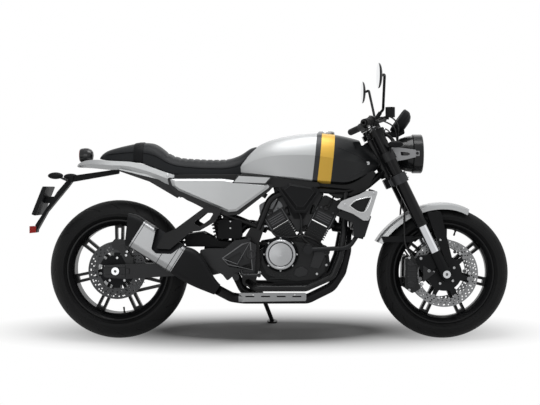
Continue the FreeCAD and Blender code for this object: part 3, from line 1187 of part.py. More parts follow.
under_lip = plate([(-726, 772), (-604, 746), (-480, 716), (-452, 652), (-466, 640), (-590, 713), (-726, 760)],
                  88, 104)
cowl = fused([loft([cowl_section(row) for row in COWL])] + both(under_lip)).cut(seat_shape).cut(subframe_shape)
feature("tail_cowl", max(cowl.Solids, key=lambda piece: piece.Volume))
cowl_shape = NODES[-1][1].Shape.copy()

# Side panels, each on two pins of the subframe
panel_in, panel_t = size("panel_plane"), size("panel_thickness")
PANEL = [(-500, 727), (-263, 727), (-36, 697), (-197, 580), (-236, 576), (-458, 672), (-488, 696)]
panel = plate([(-508, 731), (-263, 731), (-28, 699), (-52, 672), (-188, 566), (-244, 562), (-350, 596),
               (-466, 656), (-500, 694)], panel_in, panel_in + panel_t * 0.55, 8)
strip = plate([(-219, 707), (-192, 744), (-38, 735), (-68, 702)], panel_in + panel_t * 0.4, panel_in + panel_t, 3)
panel_face = loft([outline(PANEL, 8, panel_in + panel_t * 0.5),
                   outline([(-478, 717), (-265, 717), (-64, 692), (-202, 592), (-234, 588), (-452, 682),
                            (-470, 694)], 8, panel_in + panel_t)])
pins = [rod((-300, 70, 710), (-300, panel_in + 2, 710), 7), rod((-120, 70, 684), (-120, panel_in + 2, 684), 7)]
panel = fused([panel, panel_face, strip] + pins).cut(subframe_shape).cut(frame_shape).cut(seat_shape)
panel = max(panel.Solids, key=lambda piece: piece.Volume)
feature("side_panels", Part.Compound([panel, mirrored(panel)]))

# Footrest sets: plate, rider's peg and foot lever on each side
rest = plate([(-360, 410), (-324, 417), (-249, 417), (-206, 453), (-157, 458), (-110, 432), (-119, 306), (-196, 309),
              (-239, 273), (-259, 299), (-305, 328), (-360, 383)], 150, 160, 8)
rest = rest.cut(plate([(-245, 366), (-183, 401), (-161, 366), (-126, 361), (-130, 319), (-231, 335)], 140, 170, 6))
rest_posts = [rod((-144, 80, 456), (-144, 151, 456), 8), rod((-152, 80, 298), (-152, 151, 298), 8)]
peg_r = size("peg_radius")
peg = [rod((-199, 158, 295), (-199, 240, 295), peg_r), rod((-199, 238, 295), (-199, 243, 295), peg_r + 3)]
foot_lever = tube([(-176, 155, 318), (-176, 178, 300), (-98, 182, 300)], 7, 14)
lever_tip = rod((-98, 170, 300), (-98, 206, 300), 8)
rests = fused([rest] + rest_posts + peg + [foot_lever, lever_tip]).cut(frame_shape)
feature("footrest_sets", Part.Compound([rests, mirrored(rests)]))

# Boxes behind the engine, hung from the subframe
side_box = plate([(-283, 541), (-177, 541), (-177, 458), (-283, 458)], 66, 100, 8)
box_tab = plate([(-262, 538), (-236, 538), (-236, 566), (-262, 566)], 84, 94)
boxes = fused([side_box, box_tab]).cut(subframe_shape)
boxes = max(boxes.Solids, key=lambda piece: piece.Volume)
feature("side_boxes", Part.Compound([boxes, mirrored(boxes)]))

# Rear shock between the swingarm and the subframe cross tube
low_eye, high_eye = Vector(-262, 0, 417), Vector(-300, 0, 578.5)
shock_long = (high_eye - low_eye).Length
rings = [(0, 0), (11, 0), (11, 16), (30, 20)]
for i in range(7):
    z = 24 + i * 16
    rings += [(30, z), (33, z + 4), (30, z + 8), (22, z + 9), (22, z + 14)]
rings += [(30, 138), (11, 142), (11, shock_long), (0, shock_long)]
shock = body("rear_shock")
turned(shock, "shock_round", rings)
along = Rotation(AXIS_Y, high_eye - low_eye)
keep(shock, "rear_shock", Placement(low_eye, along))

# Tail lamp, plate holder, rear indicators
bulb = body("tail_light_glass")
turned(bulb, "tail_light_round", [(0, 0), (17, 3), (27, 11), (33, 24), (34, 40), (31, 58), (27, 63), (0, 67)])
lamp_block = plate([(-905, 780), (-872, 780), (-872, 815), (-905, 815)], -14, 14)
doc.recompute()
bulb_shape = placed(bulb.Shape, Placement(Vector(-857, 0, 834), Rotation(AXIS_Z, 90)))
feature("tail_lamp", fused([bulb_shape, lamp_block]).cut(cowl_shape))
holder_arm = plate([(-737, 768), (-769, 768), (-957, 741), (-975, 722), (-957, 712), (-742, 750)], -13, 13)
holder_mast = plate([(-945, 742), (-958, 741), (-1021, 667), (-1121, 516), (-1112, 493), (-1066, 575), (-976, 684),
                     (-950, 718)], -22, 22)
plate_board = plate([(-1072, 692), (-1052, 692), (-1104, 560), (-1122, 566)], -95, 95, 4)
board_lug = plate([(-1086, 646), (-1030, 646), (-1044, 616), (-1098, 616)], -20, 20)
reflector = plate([(-1146, 511), (-1110, 511), (-1114, 482), (-1146, 479)], -26, 26)
holder_shape = fused([holder_arm, holder_mast, plate_board, board_lug, reflector]).cut(cowl_shape).cut(subframe_shape)
feature("plate_holder", max(holder_shape.Solids, key=lambda piece: piece.Volume))
stem_bar = rod((-968, 20, 716), (-990, 176, 738), 5)
pod = placed(Part.makeSphere(1.0).transformGeometry(stretch), Placement(Vector(-996, 184, 739), Rotation()))
rear_pod = fused([stem_bar, pod]).cut(holder_shape)
rear_pod = max(rear_pod.Solids, key=lambda piece: piece.Volume)
feature("rear_indicators", Part.Compound([rear_pod, mirrored(rear_pod)]))

# Rear brake caliper over the disc, on the swingarm


def from_rear_axle(points):
    """Side-view points given from the rear axle."""
    return [(REAR_AXLE.x + x, REAR_AXLE.z + z) for x, z in points]


rear_caliper = plate(from_rear_axle([(-26, 122), (-8, 142), (40, 136), (60, 112), (50, 88), (-16, 96)]),
                     -y_rear - 22, -y_rear + 22, 7)
pad_room = disc_t / 2 + size("pad_gap")
rear_slot = Part.makeCylinder(size("rear_disc_radius") + 5, 2 * pad_room,
                              REAR_AXLE + Vector(0, -y_rear - pad_room, 0), AXIS_Y)
caliper_arm = plate(from_rear_axle([(2, 104), (34, 112), (76, 52), (76, 26), (46, 26)]), -arm_in + GAP,
                    -y_rear - 20)
rear_caliper = fused([rear_caliper, caliper_arm]).cut(rear_slot).cut(swingarm_shape)
feature("rear_caliper", max(rear_caliper.Solids, key=lambda piece: piece.Volume))

# Side stand, turning on a pin under the left cradle tube
leg_r = size("stand_leg_radius")
reach = Vector(sin(STAND_SWING), STAND_DOWN.y * cos(STAND_SWING), STAND_DOWN.z * cos(STAND_SWING))
foot_up = Vector(0, -sin(size("lean_angle")), cos(size("lean_angle")))
gone = (STAND_PIVOT.z - ground_height(STAND_PIVOT.y)) / (-reach.z + reach.y * tan(size("lean_angle")))
foot_at = STAND_PIVOT + reach * gone
eye = rod(STAND_PIVOT - STAND_AXIS * 10.5, STAND_PIVOT + STAND_AXIS * 10.5, 17)
stand_leg = rod(STAND_PIVOT + reach * 8, foot_at + foot_up * 6, leg_r)
stand_foot = rod(foot_at, foot_at + foot_up * 8, 24)
stand = fused([eye, stand_leg, stand_foot])
stand = stand.cut(rod(STAND_PIVOT - STAND_AXIS * 12, STAND_PIVOT + STAND_AXIS * 12, size("stand_pin_radius") + RUN))
below = Part.makeBox(400, 400, 100, Vector(-200, -200, -100))
below.Placement = Placement(foot_at, Rotation(AXIS_X, size("lean_angle")))
feature("side_stand", stand.cut(below))


# Placing and writing
doc.recompute()
LEAN = lean_placement()
for name, obj, local in NODES:
    obj.Placement = LEAN.multiply(local)
doc.recompute()
whole = FreeCAD.BoundBox()
for name, obj, local in NODES:
    whole.add(obj.Shape.optimalBoundingBox(False, False))
MIDDLE = Vector((whole.XMin + whole.XMax) / 2, (whole.YMin + whole.YMax) / 2, -GROUND_DROP)
SHIFT = Placement(Vector(-MIDDLE.x, -MIDDLE.y, -MIDDLE.z), Rotation())
for name, obj, local in NODES:
    obj.Placement = SHIFT.multiply(LEAN).multiply(local)
doc.recompute()

for obj in doc.Objects:
    if "Invalid" in obj.State or "Error" in obj.State:
        raise RuntimeError(f"{obj.Label}: {obj.State}")
os.makedirs("parts", exist_ok=True)
for name, obj, local in NODES:
    if obj.Shape.isNull() or not obj.Shape.isValid() or not obj.Shape.Solids:
        raise RuntimeError(f"{name} is not a sound solid")
    obj.Shape.exportStep(f"parts/{name}.step")
print(len(NODES), "pieces,", "origin moved by", tuple(round(v, 3) for v in SHIFT.Base))
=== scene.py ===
"""Looks of the cafe racer motorcycle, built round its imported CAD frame.

Sizes are in millimetres of the upright machine: +X forward, +Y to the rider's left, +Z up, with the
origin on the ground halfway between the axles. UPRIGHT takes such a point to the leaning machine.
"""
import json
import math

import bmesh
import bpy
from mathutils.bvhtree import BVHTree
from mathutils import Matrix, Vector


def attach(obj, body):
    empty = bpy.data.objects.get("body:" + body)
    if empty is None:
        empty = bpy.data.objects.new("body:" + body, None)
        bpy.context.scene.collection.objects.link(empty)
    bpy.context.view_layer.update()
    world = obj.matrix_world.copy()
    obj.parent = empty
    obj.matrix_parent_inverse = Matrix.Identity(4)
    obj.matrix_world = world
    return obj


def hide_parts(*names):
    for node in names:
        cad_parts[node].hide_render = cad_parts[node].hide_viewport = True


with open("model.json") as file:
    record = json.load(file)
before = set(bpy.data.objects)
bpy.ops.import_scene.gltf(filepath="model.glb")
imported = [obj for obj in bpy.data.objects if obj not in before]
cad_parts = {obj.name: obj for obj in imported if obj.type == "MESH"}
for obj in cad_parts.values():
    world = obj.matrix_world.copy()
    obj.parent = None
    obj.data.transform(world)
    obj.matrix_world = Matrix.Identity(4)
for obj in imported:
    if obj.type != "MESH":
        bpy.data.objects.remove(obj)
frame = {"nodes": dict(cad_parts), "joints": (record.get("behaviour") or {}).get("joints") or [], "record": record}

bl_info = {
    "name": "Cafe Racer Motorcycle",
    "version": (1, 0, 0),
    "blender": (4, 5, 0),
    "location": "View3D > Sidebar > Motorcycle",
    "description": "Finishes and fine parts of a cafe racer motorcycle on its CAD frame",
    "category": "Object",
}

WHEELBASE, FRONT_R, REAR_R = 1475.0, 300.0, 315.0
RAKE = math.radians(26)
JOINTS = {joint["name"]: joint for joint in frame["joints"]}


def upright_matrix():
    """From millimetres of the upright machine to metres of the leaning one, read off the wheel joints."""
    left = Vector(JOINTS["rear_wheel_spin"]["axis"]).normalized()
    ahead = Vector((1, 0, 0))
    up = ahead.cross(left)
    turn = Matrix((ahead, left, up)).transposed()
    axle = turn @ Vector((WHEELBASE / 2, 0, FRONT_R)) * 0.001
    shift = Vector(JOINTS["front_wheel_spin"]["pos_m"]) - axle
    return Matrix.Translation(shift) @ turn.to_4x4() @ Matrix.Scale(0.001, 4)


UPRIGHT = upright_matrix()
X, Y, Z = Vector((1, 0, 0)), Vector((0, 1, 0)), Vector((0, 0, 1))
FRONT_AXLE = Vector((WHEELBASE / 2, 0, FRONT_R))
REAR_AXLE = Vector((-WHEELBASE / 2, 0, REAR_R))
CRANK = Vector((93, 0, 357))
CLUTCH = Vector((-3, 0, 389))
CAN_FRONT = Vector((-451, 0, 370))
CAN_TILT = math.radians(32.4)

# Degrees that the two cylinders lean forward from upright
REAR_BANK, FRONT_BANK = -31, 27

# How far out from the middle plane a search for a surface starts
BEYOND = 420

# Linear colours of the paints and metals that more than one finish uses
SILVER = (0.47, 0.48, 0.485)
CHARCOAL = (0.006, 0.0068, 0.0076)
STRIPE_EDGE = (0.02, 0.021, 0.023)
YELLOW = (0.66, 0.40, 0.055)
BLACK = (0.0075, 0.0078, 0.0085)
DARK = (0.013, 0.0135, 0.0145)
STEEL = (0.33, 0.335, 0.342)
AMBER = (0.75, 0.24, 0.02)


def fork_point(ahead, left, up):
    """A point given in the fork's own frame, from the front axle."""
    return FRONT_AXLE + Vector((ahead * math.cos(RAKE) - up * math.sin(RAKE), left,
                                ahead * math.sin(RAKE) + up * math.cos(RAKE)))


# Mesh helpers, in millimetres of the upright machine
def basis(along):
    """The direction given, as a unit vector, and two directions square to it."""
    along = Vector(along).normalized()
    side = along.orthogonal().normalized()
    return along, side, along.cross(side)


def add_ring(bm, centre, side, other, radius, count):
    """Points on a circle, whose plane two directions span."""
    ring = []
    for i in range(count):
        a = 2 * math.pi * i / count
        ring.append(bm.verts.new(centre + side * (radius * math.cos(a)) + other * (radius * math.sin(a))))
    return ring


def bridge(bm, one, two, closed=True):
    """Faces between two rows of as many points, all the way round or only along them."""
    for i in range(len(one) if closed else len(one) - 1):
        j = (i + 1) % len(one)
        bm.faces.new((one[i], one[j], two[j], two[i]))


def add_lathe(bm, origin, along, profile, count=32):
    """Turns (radius, distance along) rows round an axis; a radius of 0 closes the end."""
    along, side, other = basis(along)
    rings = []
    for radius, step in profile:
        centre = Vector(origin) + along * step
        rings.append([bm.verts.new(centre)] if radius <= 0 else
                     add_ring(bm, centre, side, other, radius, count))
    for one, two in zip(rings, rings[1:]):
        if len(one) == 1 and len(two) == 1:
            continue
        if len(one) == 1:
            for i in range(count):
                bm.faces.new((one[0], two[(i + 1) % count], two[i]))
        elif len(two) == 1:
            for i in range(count):
                bm.faces.new((one[i], one[(i + 1) % count], two[0]))
        else:
            bridge(bm, one, two)


def add_tube(bm, points, radius, count=12):
    """A round bar through the points, with no twist."""
    pts = [Vector(p) for p in points]
    side = None
    rings = []
    for i, p in enumerate(pts):
        along = (pts[min(i + 1, len(pts) - 1)] - pts[max(i - 1, 0)]).normalized()
        if side is None:
            side = along.orthogonal().normalized()
        side = (side - along * side.dot(along)).normalized()
        rings.append(add_ring(bm, p, side, along.cross(side), radius, count))
    for one, two in zip(rings, rings[1:]):
        bridge(bm, one, two)
    bm.faces.new(rings[0][::-1])
    bm.faces.new(rings[-1])


def add_prism(bm, outline, start, end):
    """A side-view outline of (x, z) from y = start to y = end."""
    one = [bm.verts.new((x, start, z)) for x, z in outline]
    two = [bm.verts.new((x, end, z)) for x, z in outline]
    bridge(bm, one, two)
    bm.faces.new(one[::-1])
    bm.faces.new(two)


def add_box(bm, centre, size, turn=None):
    """A box of the given size, turned by a matrix about its centre."""
    corners = []
    for sx in (-0.5, 0.5):
        for sy in (-0.5, 0.5):
            for sz in (-0.5, 0.5):
                p = Vector((size[0] * sx, size[1] * sy, size[2] * sz))
                if turn is not None:
                    p = turn @ p
                corners.append(bm.verts.new(Vector(centre) + p))
    for a, b, c, d in ((0, 1, 3, 2), (4, 6, 7, 5), (0, 4, 5, 1), (2, 3, 7, 6), (0, 2, 6, 4), (1, 5, 7, 3)):
        bm.faces.new((corners[a], corners[b], corners[c], corners[d]))


def add_mirror(bm):
    """Adds the mirror image of everything so far on the other side of the middle plane."""
    made = bmesh.ops.duplicate(bm, geom=bm.verts[:] + bm.edges[:] + bm.faces[:])
    for item in made["geom"]:
        if isinstance(item, bmesh.types.BMVert):
            item.co.y = -item.co.y
    faces = [item for item in made["geom"] if isinstance(item, bmesh.types.BMFace)]
    bmesh.ops.reverse_faces(bm, faces=faces)


SURFACES = {}


def surface(names):
    """A search tree of the surfaces of some CAD nodes, in millimetres of the upright machine."""
    key = tuple(names)
    if key not in SURFACES:
        back = UPRIGHT.inverted()
        corners, faces = [], []
        for name in names:
            mesh = frame["nodes"][name].data
            first = len(corners)
            corners += [back @ vert.co for vert in mesh.vertices]
            faces += [[first + i for i in face.vertices] for face in mesh.polygons]
        SURFACES[key] = BVHTree.FromPolygons(corners, faces)
    return SURFACES[key]


def landing(names, x, z, side):
    """The first point of some CAD nodes on a line across the machine from one side, or None."""
    return surface(names).ray_cast(Vector((x, side * BEYOND, z)), Vector((0, -side, 0)))[0]


def sure_landing(names, x, z, side):
    """The landing on a place where there has to be one."""
    point = landing(names, x, z, side)
    if point is None:
        raise ValueError(f"no surface of {names} at {x:.0f}, {z:.0f}")
    return point


def seated(names, point, depth=4.0):
    """The place just inside the nearest CAD surface, where a hose or cable plugs in."""
    spot, normal, _, _ = surface(names).find_nearest(Vector(point))
    return spot - normal * depth


def add_hose(bm, start, middle, end, radius, count=10):
    """A hose or cable from one CAD piece to another; start and end are (names of pieces, place near them)."""
    add_tube(bm, smooth_rows([seated(*start), *middle, seated(*end)], 6), radius, count)


def add_screw(bm, point, along, radius, height, count=14):
    """A socket-head screw that stands on a surface."""
    add_lathe(bm, point, along,
              [(0, -2), (radius, -2), (radius, height * 0.75), (radius * 0.85, height),
               (radius * 0.52, height), (radius * 0.48, height * 0.3), (0, height * 0.3)], count)


def add_screws(bm, names, spots, side, radius, height):
    """Screws that stand on CAD nodes at places (x, z), seen from one side."""
    for x, z in spots:
        add_screw(bm, sure_landing(names, x, z, side), (0, side, 0), radius, height)


def add_pad(bm, names, outline, side, thick, sink=4.0):
    """A raised panel of a side-view outline on a surface."""
    x = sum(corner[0] for corner in outline) / len(outline)
    z = sum(corner[1] for corner in outline) / len(outline)
    point = sure_landing(names, x, z, side)
    add_prism(bm, outline, point.y - side * sink, point.y + side * thick)


def box_outline(left, low, right, high):
    """The side-view outline of a box."""
    return [(left, low), (right, low), (right, high), (left, high)]


def even_angles(first, count):
    """Angles in degrees that share a full turn."""
    return [first + 360 * k / count for k in range(count)]


def round_spots(centre, radius, angles):
    """Side-view places (x, z) on a circle about a point."""
    return [(centre.x + radius * math.cos(math.radians(a)), centre.z + radius * math.sin(math.radians(a)))
            for a in angles]


def smooth_rows(rows, steps):
    """More rows of numbers on a smooth curve through the given ones."""
    out = []
    for i in range(len(rows) - 1):
        p0, p1, p2, p3 = rows[max(i - 1, 0)], rows[i], rows[i + 1], rows[min(i + 2, len(rows) - 1)]
        for k in range(steps):
            t = k / steps
            out.append([0.5 * (2 * b + (c - a) * t + (2 * a - 5 * b + 4 * c - d) * t * t
                               + (3 * b - a - 3 * c + d) * t ** 3) for a, b, c, d in zip(p0, p1, p2, p3)])
    return out + [list(rows[-1])]


def placed(name, data):
    """An object of the scene that shows a mesh, a lamp or a camera."""
    obj = bpy.data.objects.new(name, data)
    bpy.context.scene.collection.objects.link(obj)
    return obj


def piece(name, bm, trim, body, smooth=30.0, bevel=0.0):
    """Turns the mesh into an object of the leaning machine that moves with a body."""
    bmesh.ops.recalc_face_normals(bm, faces=bm.faces[:])
    bm.transform(UPRIGHT)
    mesh = bpy.data.meshes.new(name)
    bm.to_mesh(mesh)
    bm.free()
    obj = placed(name, mesh)
    mesh.materials.append(trim_finish(trim))
    if bevel > 0:
        edge = obj.modifiers.new("edge", "BEVEL")
        edge.width = bevel * 0.001
        edge.segments = 2
        edge.limit_method = "ANGLE"
    if smooth > 0:
        mesh.shade_smooth()
        mesh.set_sharp_from_angle(angle=math.radians(smooth))
    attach(obj, body)
    return obj


# Materials
def node_group(name, inputs, outputs):
    """An empty shader group with its sockets: (name, socket type, default) in, (name, socket type) out."""
    group = bpy.data.node_groups.new(name, "ShaderNodeTree")
    for label, kind, default in inputs:
        item = group.interface.new_socket(label, in_out="INPUT", socket_type=kind)
        item.default_value = default
    for label, kind in outputs:
        group.interface.new_socket(label, in_out="OUTPUT", socket_type=kind)
    return group, group.nodes.new("NodeGroupInput"), group.nodes.new("NodeGroupOutput")


def link(tree, source, target):
    """Joins an output to an input."""
    tree.links.new(source, target)


def set_inputs(node, **values):
    """Sets sockets of a node; an underscore stands for a space."""
    for label, value in values.items():
        node.inputs[label.replace("_", " ")].default_value = value


def math_node(tree, operation, one, two=None, clamp=False):
    """A math node whose inputs are sockets or numbers."""
    made = tree.nodes.new("ShaderNodeMath")
    made.operation = operation
    made.use_clamp = clamp
    for socket, value in zip(made.inputs, (one, two)):
        if value is None:
            continue
        if isinstance(value, (int, float)):
            socket.default_value = value
        else:
            link(tree, value, socket)
    return made.outputs[0]


def floats(**defaults):
    """Number sockets of a node group with their defaults; an underscore stands for a space."""
    return [(label.replace("_", " "), "NodeSocketFloat", value) for label, value in defaults.items()]


def surface_group():
    """Fine grain and handling marks: a roughness, a brightness factor and a normal."""
    bright_share, depth = 0.6, 0.0002
    group, come, go = node_group(
        "fine_surface", floats(Roughness=0.4, Grain=0.1, Grain_Size=0.6, Marks=0.1),
        [("Roughness", "NodeSocketFloat"), ("Brightness", "NodeSocketFloat"), ("Normal", "NodeSocketVector")])
    place = group.nodes.new("ShaderNodeTexCoord").outputs["Object"]
    fine = group.nodes.new("ShaderNodeTexNoise")
    broad = group.nodes.new("ShaderNodeTexNoise")
    for noise in (fine, broad):
        link(group, place, noise.inputs["Vector"])
    link(group, math_node(group, "DIVIDE", 1000.0, come.outputs["Grain Size"]), fine.inputs["Scale"])
    set_inputs(fine, Detail=2.0)
    set_inputs(broad, Scale=14.0, Detail=6.0)
    swing = math_node(group, "SUBTRACT", broad.outputs["Fac"], 0.5)
    change = math_node(group, "MULTIPLY", swing, come.outputs["Marks"])
    rough = math_node(group, "ADD", come.outputs["Roughness"], change, clamp=True)
    link(group, rough, go.inputs["Roughness"])
    bright = math_node(group, "ADD", 1.0, math_node(group, "MULTIPLY", change, bright_share))
    link(group, bright, go.inputs["Brightness"])
    bump = group.nodes.new("ShaderNodeBump")
    set_inputs(bump, Distance=depth)
    link(group, come.outputs["Grain"], bump.inputs["Strength"])
    link(group, fine.outputs["Fac"], bump.inputs["Height"])
    link(group, bump.outputs["Normal"], go.inputs["Normal"])
    return group


def upright_group():
    """The millimetre coordinates of the upright machine at a shaded point."""
    group, _, go = node_group("upright_place", [], [(label, "NodeSocketFloat") for label in "XYZ"])
    split = group.nodes.new("ShaderNodeSeparateXYZ")
    link(group, group.nodes.new("ShaderNodeTexCoord").outputs["Object"], split.inputs[0])
    for label, row in zip("XYZ", UPRIGHT.inverted()):
        total = row[3]
        for socket, share in zip(split.outputs, row):
            total = math_node(group, "ADD", total, math_node(group, "MULTIPLY", socket, share))
        link(group, total, go.inputs[label])
    return group


def lap_of(tree, x, z, count):
    """How many of the repeats round an axle lie between the forward direction and a point."""
    turn = math_node(tree, "ARCTAN2", z, x)
    return math_node(tree, "MULTIPLY", turn, math_node(tree, "MULTIPLY", count, 1 / (2 * math.pi)))


def tread_group():
    """Curved grooves of a road tyre and the fine rings of its sidewall, by place about its axle."""
    sweep, stagger, half_groove, middle_rib = 1.1, 0.25, 0.045, 0.16
    rings_per_mm, ring_crest, ring_height = 0.55, 0.93, 0.25
    group, come, go = node_group(
        "tyre_pattern", floats(X=0.0, Y=0.0, Z=0.0, Count=24.0, Half_Width=60.0, Shoulder=262.0),
        [("Groove", "NodeSocketFloat"), ("Height", "NodeSocketFloat")])
    x, y, z = (come.outputs[label] for label in "XYZ")
    far = length_of(group, x, z)
    share = math_node(group, "DIVIDE", math_node(group, "ABSOLUTE", y), come.outputs["Half Width"])
    curve = math_node(group, "MULTIPLY", math_node(group, "MULTIPLY", share, share), sweep)
    lap = math_node(group, "ADD", lap_of(group, x, z, come.outputs["Count"]), curve)
    lap = math_node(group, "ADD", lap, math_node(group, "MULTIPLY", math_node(group, "SIGN", y), stagger))
    near = math_node(group, "ABSOLUTE", math_node(group, "SUBTRACT", math_node(group, "FRACT", lap), 0.5))
    crown = over(group, far, come.outputs["Shoulder"], 3)
    slot = both_true(group, under(group, near, half_groove, 0.03), crown,
                     over(group, share, middle_rib, 0.03))
    rings = math_node(group, "SINE", math_node(group, "MULTIPLY", far, rings_per_mm))
    side = math_node(group, "MULTIPLY", opposite(group, crown), over(group, rings, ring_crest, 0.2))
    link(group, slot, go.inputs["Groove"])
    height = math_node(group, "SUBTRACT", math_node(group, "MULTIPLY", side, ring_height), slot)
    link(group, height, go.inputs["Height"])
    return group


def holes_group():
    """Three staggered rows of round holes of a brake disc; 1 inside a hole."""
    group, come, go = node_group(
        "disc_holes", floats(X=0.0, Z=0.0, First_Radius=124.0, Row_Step=10.0, Count=42.0, Size=3.2),
        [("Hole", "NodeSocketFloat")])
    x, z, count = (come.outputs[label] for label in ("X", "Z", "Count"))
    turn = lap_of(group, x, z, count)
    far = length_of(group, x, z)
    hole = None
    for row in range(3):
        radius = math_node(group, "ADD", come.outputs["First Radius"],
                           math_node(group, "MULTIPLY", come.outputs["Row Step"], row))
        lap = math_node(group, "FRACT", math_node(group, "ADD", turn, row / 3))
        round_it = math_node(group, "DIVIDE", math_node(group, "MULTIPLY", radius, 2 * math.pi), count)
        arc = math_node(group, "MULTIPLY", math_node(group, "SUBTRACT", lap, 0.5), round_it)
        gap = length_of(group, arc, math_node(group, "SUBTRACT", far, radius))
        one = over(group, math_node(group, "SUBTRACT", come.outputs["Size"], gap), 0, 0.5)
        hole = one if hole is None else math_node(group, "MAXIMUM", hole, one)
    link(group, hole, go.inputs["Hole"])
    return group


GROUPS = {}
FINISHES = {}


def group_node(tree, key):
    """A node for one of the shared groups, which is made the first time it is needed."""
    makers = {"surface": surface_group, "place": upright_group, "tread": tread_group, "holes": holes_group}
    if key not in GROUPS:
        GROUPS[key] = makers[key]()
    node = tree.nodes.new("ShaderNodeGroup")
    node.node_tree = GROUPS[key]
    return node


def finish(name, colour, rough=0.4, metal=0.0, coat=0.0, grain=0.05, size=0.6, marks=0.1, **extra):
    """A material with fine grain, made once: colour is linear RGB, and size is that of the grain."""
    if name in FINISHES:
        return FINISHES[name]
    made = bpy.data.materials.new(name)
    FINISHES[name] = made
    made.diffuse_color = (*colour, 1)
    made.use_nodes = True
    tree = made.node_tree
    shader = tree.nodes["Principled BSDF"]
    set_inputs(shader, Metallic=metal, Coat_Weight=coat, Coat_Roughness=0.04,
               Specular_IOR_Level=0.5 if max(colour) > 0.1 else 0.1)
    set_inputs(shader, **extra)
    fine = group_node(tree, "surface")
    set_inputs(fine, Roughness=rough, Grain=grain, Grain_Size=size, Marks=marks)
    link(tree, fine.outputs["Roughness"], shader.inputs["Roughness"])
    link(tree, fine.outputs["Normal"], shader.inputs["Normal"])
    tone = tree.nodes.new("ShaderNodeVectorMath")
    tone.operation = "SCALE"
    tone.inputs[0].default_value = colour
    link(tree, fine.outputs["Brightness"], tone.inputs["Scale"])
    link(tree, tone.outputs[0], shader.inputs["Base Color"])
    return made


def mixed(tree, mask, one, two):
    """One number where the mask is 0 and the other where it is 1."""
    return math_node(tree, "ADD", one, math_node(tree, "MULTIPLY", mask, two - one))


def over(tree, value, edge, soft=0.5):
    """1 where the value is over the edge, with a narrow soft step."""
    lifted = math_node(tree, "MULTIPLY", math_node(tree, "SUBTRACT", value, edge), 1 / soft)
    return math_node(tree, "ADD", lifted, 0.5, clamp=True)


def opposite(tree, mask):
    """1 where the mask is 0."""
    return math_node(tree, "SUBTRACT", 1, mask)


def under(tree, value, edge, soft=0.5):
    """1 where the value is under the edge, with a narrow soft step."""
    return opposite(tree, over(tree, value, edge, soft))


def both_true(tree, *masks):
    """1 where all the masks are 1."""
    result = masks[0]
    for mask in masks[1:]:
        result = math_node(tree, "MULTIPLY", result, mask)
    return result


def length_of(tree, one, two):
    """Length of the diagonal over two sides."""
    squares = [math_node(tree, "MULTIPLY", side, side) for side in (one, two)]
    return math_node(tree, "SQRT", math_node(tree, "ADD", *squares))


def about(tree, place, centre):
    """X and Z of a shaded point, from a centre."""
    return (math_node(tree, "SUBTRACT", place.outputs["X"], centre.x),
            math_node(tree, "SUBTRACT", place.outputs["Z"], centre.z))


def distance_from(tree, place, centre):
    """Distance in the side view from a centre."""
    return length_of(tree, *about(tree, place, centre))


def distance_along(tree, place, centre, direction):
    """Distance from a centre along a direction (x, z) of the side view."""
    steps = [math_node(tree, "MULTIPLY", offset, share)
             for offset, share in zip(about(tree, place, centre), direction)]
    return math_node(tree, "ADD", *steps)


def line_side(tree, place, start, end):
    """How far a point of the side view lies to the left of the line from start to end."""
    along = (Vector(end) - Vector(start)).normalized()
    return distance_along(tree, place, Vector((start[0], 0, start[1])), (-along.y, along.x))


def within(tree, place, corners, soft=0.5):
    """1 inside a convex side-view outline whose corners run anticlockwise."""
    sides = [over(tree, line_side(tree, place, one, two), 0, soft)
             for one, two in zip(corners, corners[1:] + corners[:1])]
    return both_true(tree, *sides)


def parts_of(made):
    nodes = made.node_tree.nodes
    fine = next(node for node in nodes if node.type == "GROUP" and node.node_tree.name == "fine_surface")
    tone = next(node for node in nodes if node.type == "VECT_MATH")
    return nodes["Principled BSDF"], fine, tone


def mixed_colour(tree, mask, one, two):
    """One colour where the mask is 0 and the other where it is 1; a colour is a socket or linear RGB."""
    mix = tree.nodes.new("ShaderNodeMix")
    mix.data_type = "RGBA"
    link(tree, mask, mix.inputs["Factor"])
    for label, colour in (("A", one), ("B", two)):
        if isinstance(colour, tuple):
            mix.inputs[label].default_value = (*colour, 1)
        else:
            link(tree, colour, mix.inputs[label])
    return mix.outputs["Result"]


def two_finish(name, one, two, mask, coats=None, **words):
    """A material of two finishes (colour, roughness, metallic), the second where mask(tree, place) is 1."""
    made = finish(name, one[0], one[1], metal=one[2], **words)
    tree = made.node_tree
    shader, fine, tone = parts_of(made)
    where = mask(tree, group_node(tree, "place"))
    link(tree, mixed_colour(tree, where, one[0], two[0]), tone.inputs[0])
    link(tree, mixed(tree, where, one[1], two[1]), fine.inputs["Roughness"])
    if one[2] != two[2]:
        link(tree, mixed(tree, where, one[2], two[2]), shader.inputs["Metallic"])
    if coats:
        link(tree, mixed(tree, where, *coats), shader.inputs["Coat Weight"])
    return made


def off_middle(tree, place):
    """Distance from the middle plane, to either side."""
    return math_node(tree, "ABSOLUTE", place.outputs["Y"])


def slider_mask(tree, place):
    """The bright sliders, above the castings that hold the axle."""
    foot, back = 110, -23
    height = distance_along(tree, place, FRONT_AXLE, (-math.sin(RAKE), math.cos(RAKE)))
    forward = distance_along(tree, place, FRONT_AXLE, (math.cos(RAKE), math.sin(RAKE)))
    return both_true(tree, over(tree, height, foot), over(tree, forward, back))


def panel_mask(tree, place):
    """The outer skin of the side panels, without the dark rim of the small strip."""
    skin, strip_skin = 135.4, 139
    rim = within(tree, place, [(-219, 707), (-68, 702), (-38, 735), (-192, 744)])
    face = within(tree, place, [(-211, 711), (-72, 706), (-49, 731), (-189, 739)])
    out = off_middle(tree, place)
    strip = both_true(tree, rim, opposite(tree, face), over(tree, out, strip_skin))
    return both_true(tree, over(tree, out, skin), opposite(tree, strip))


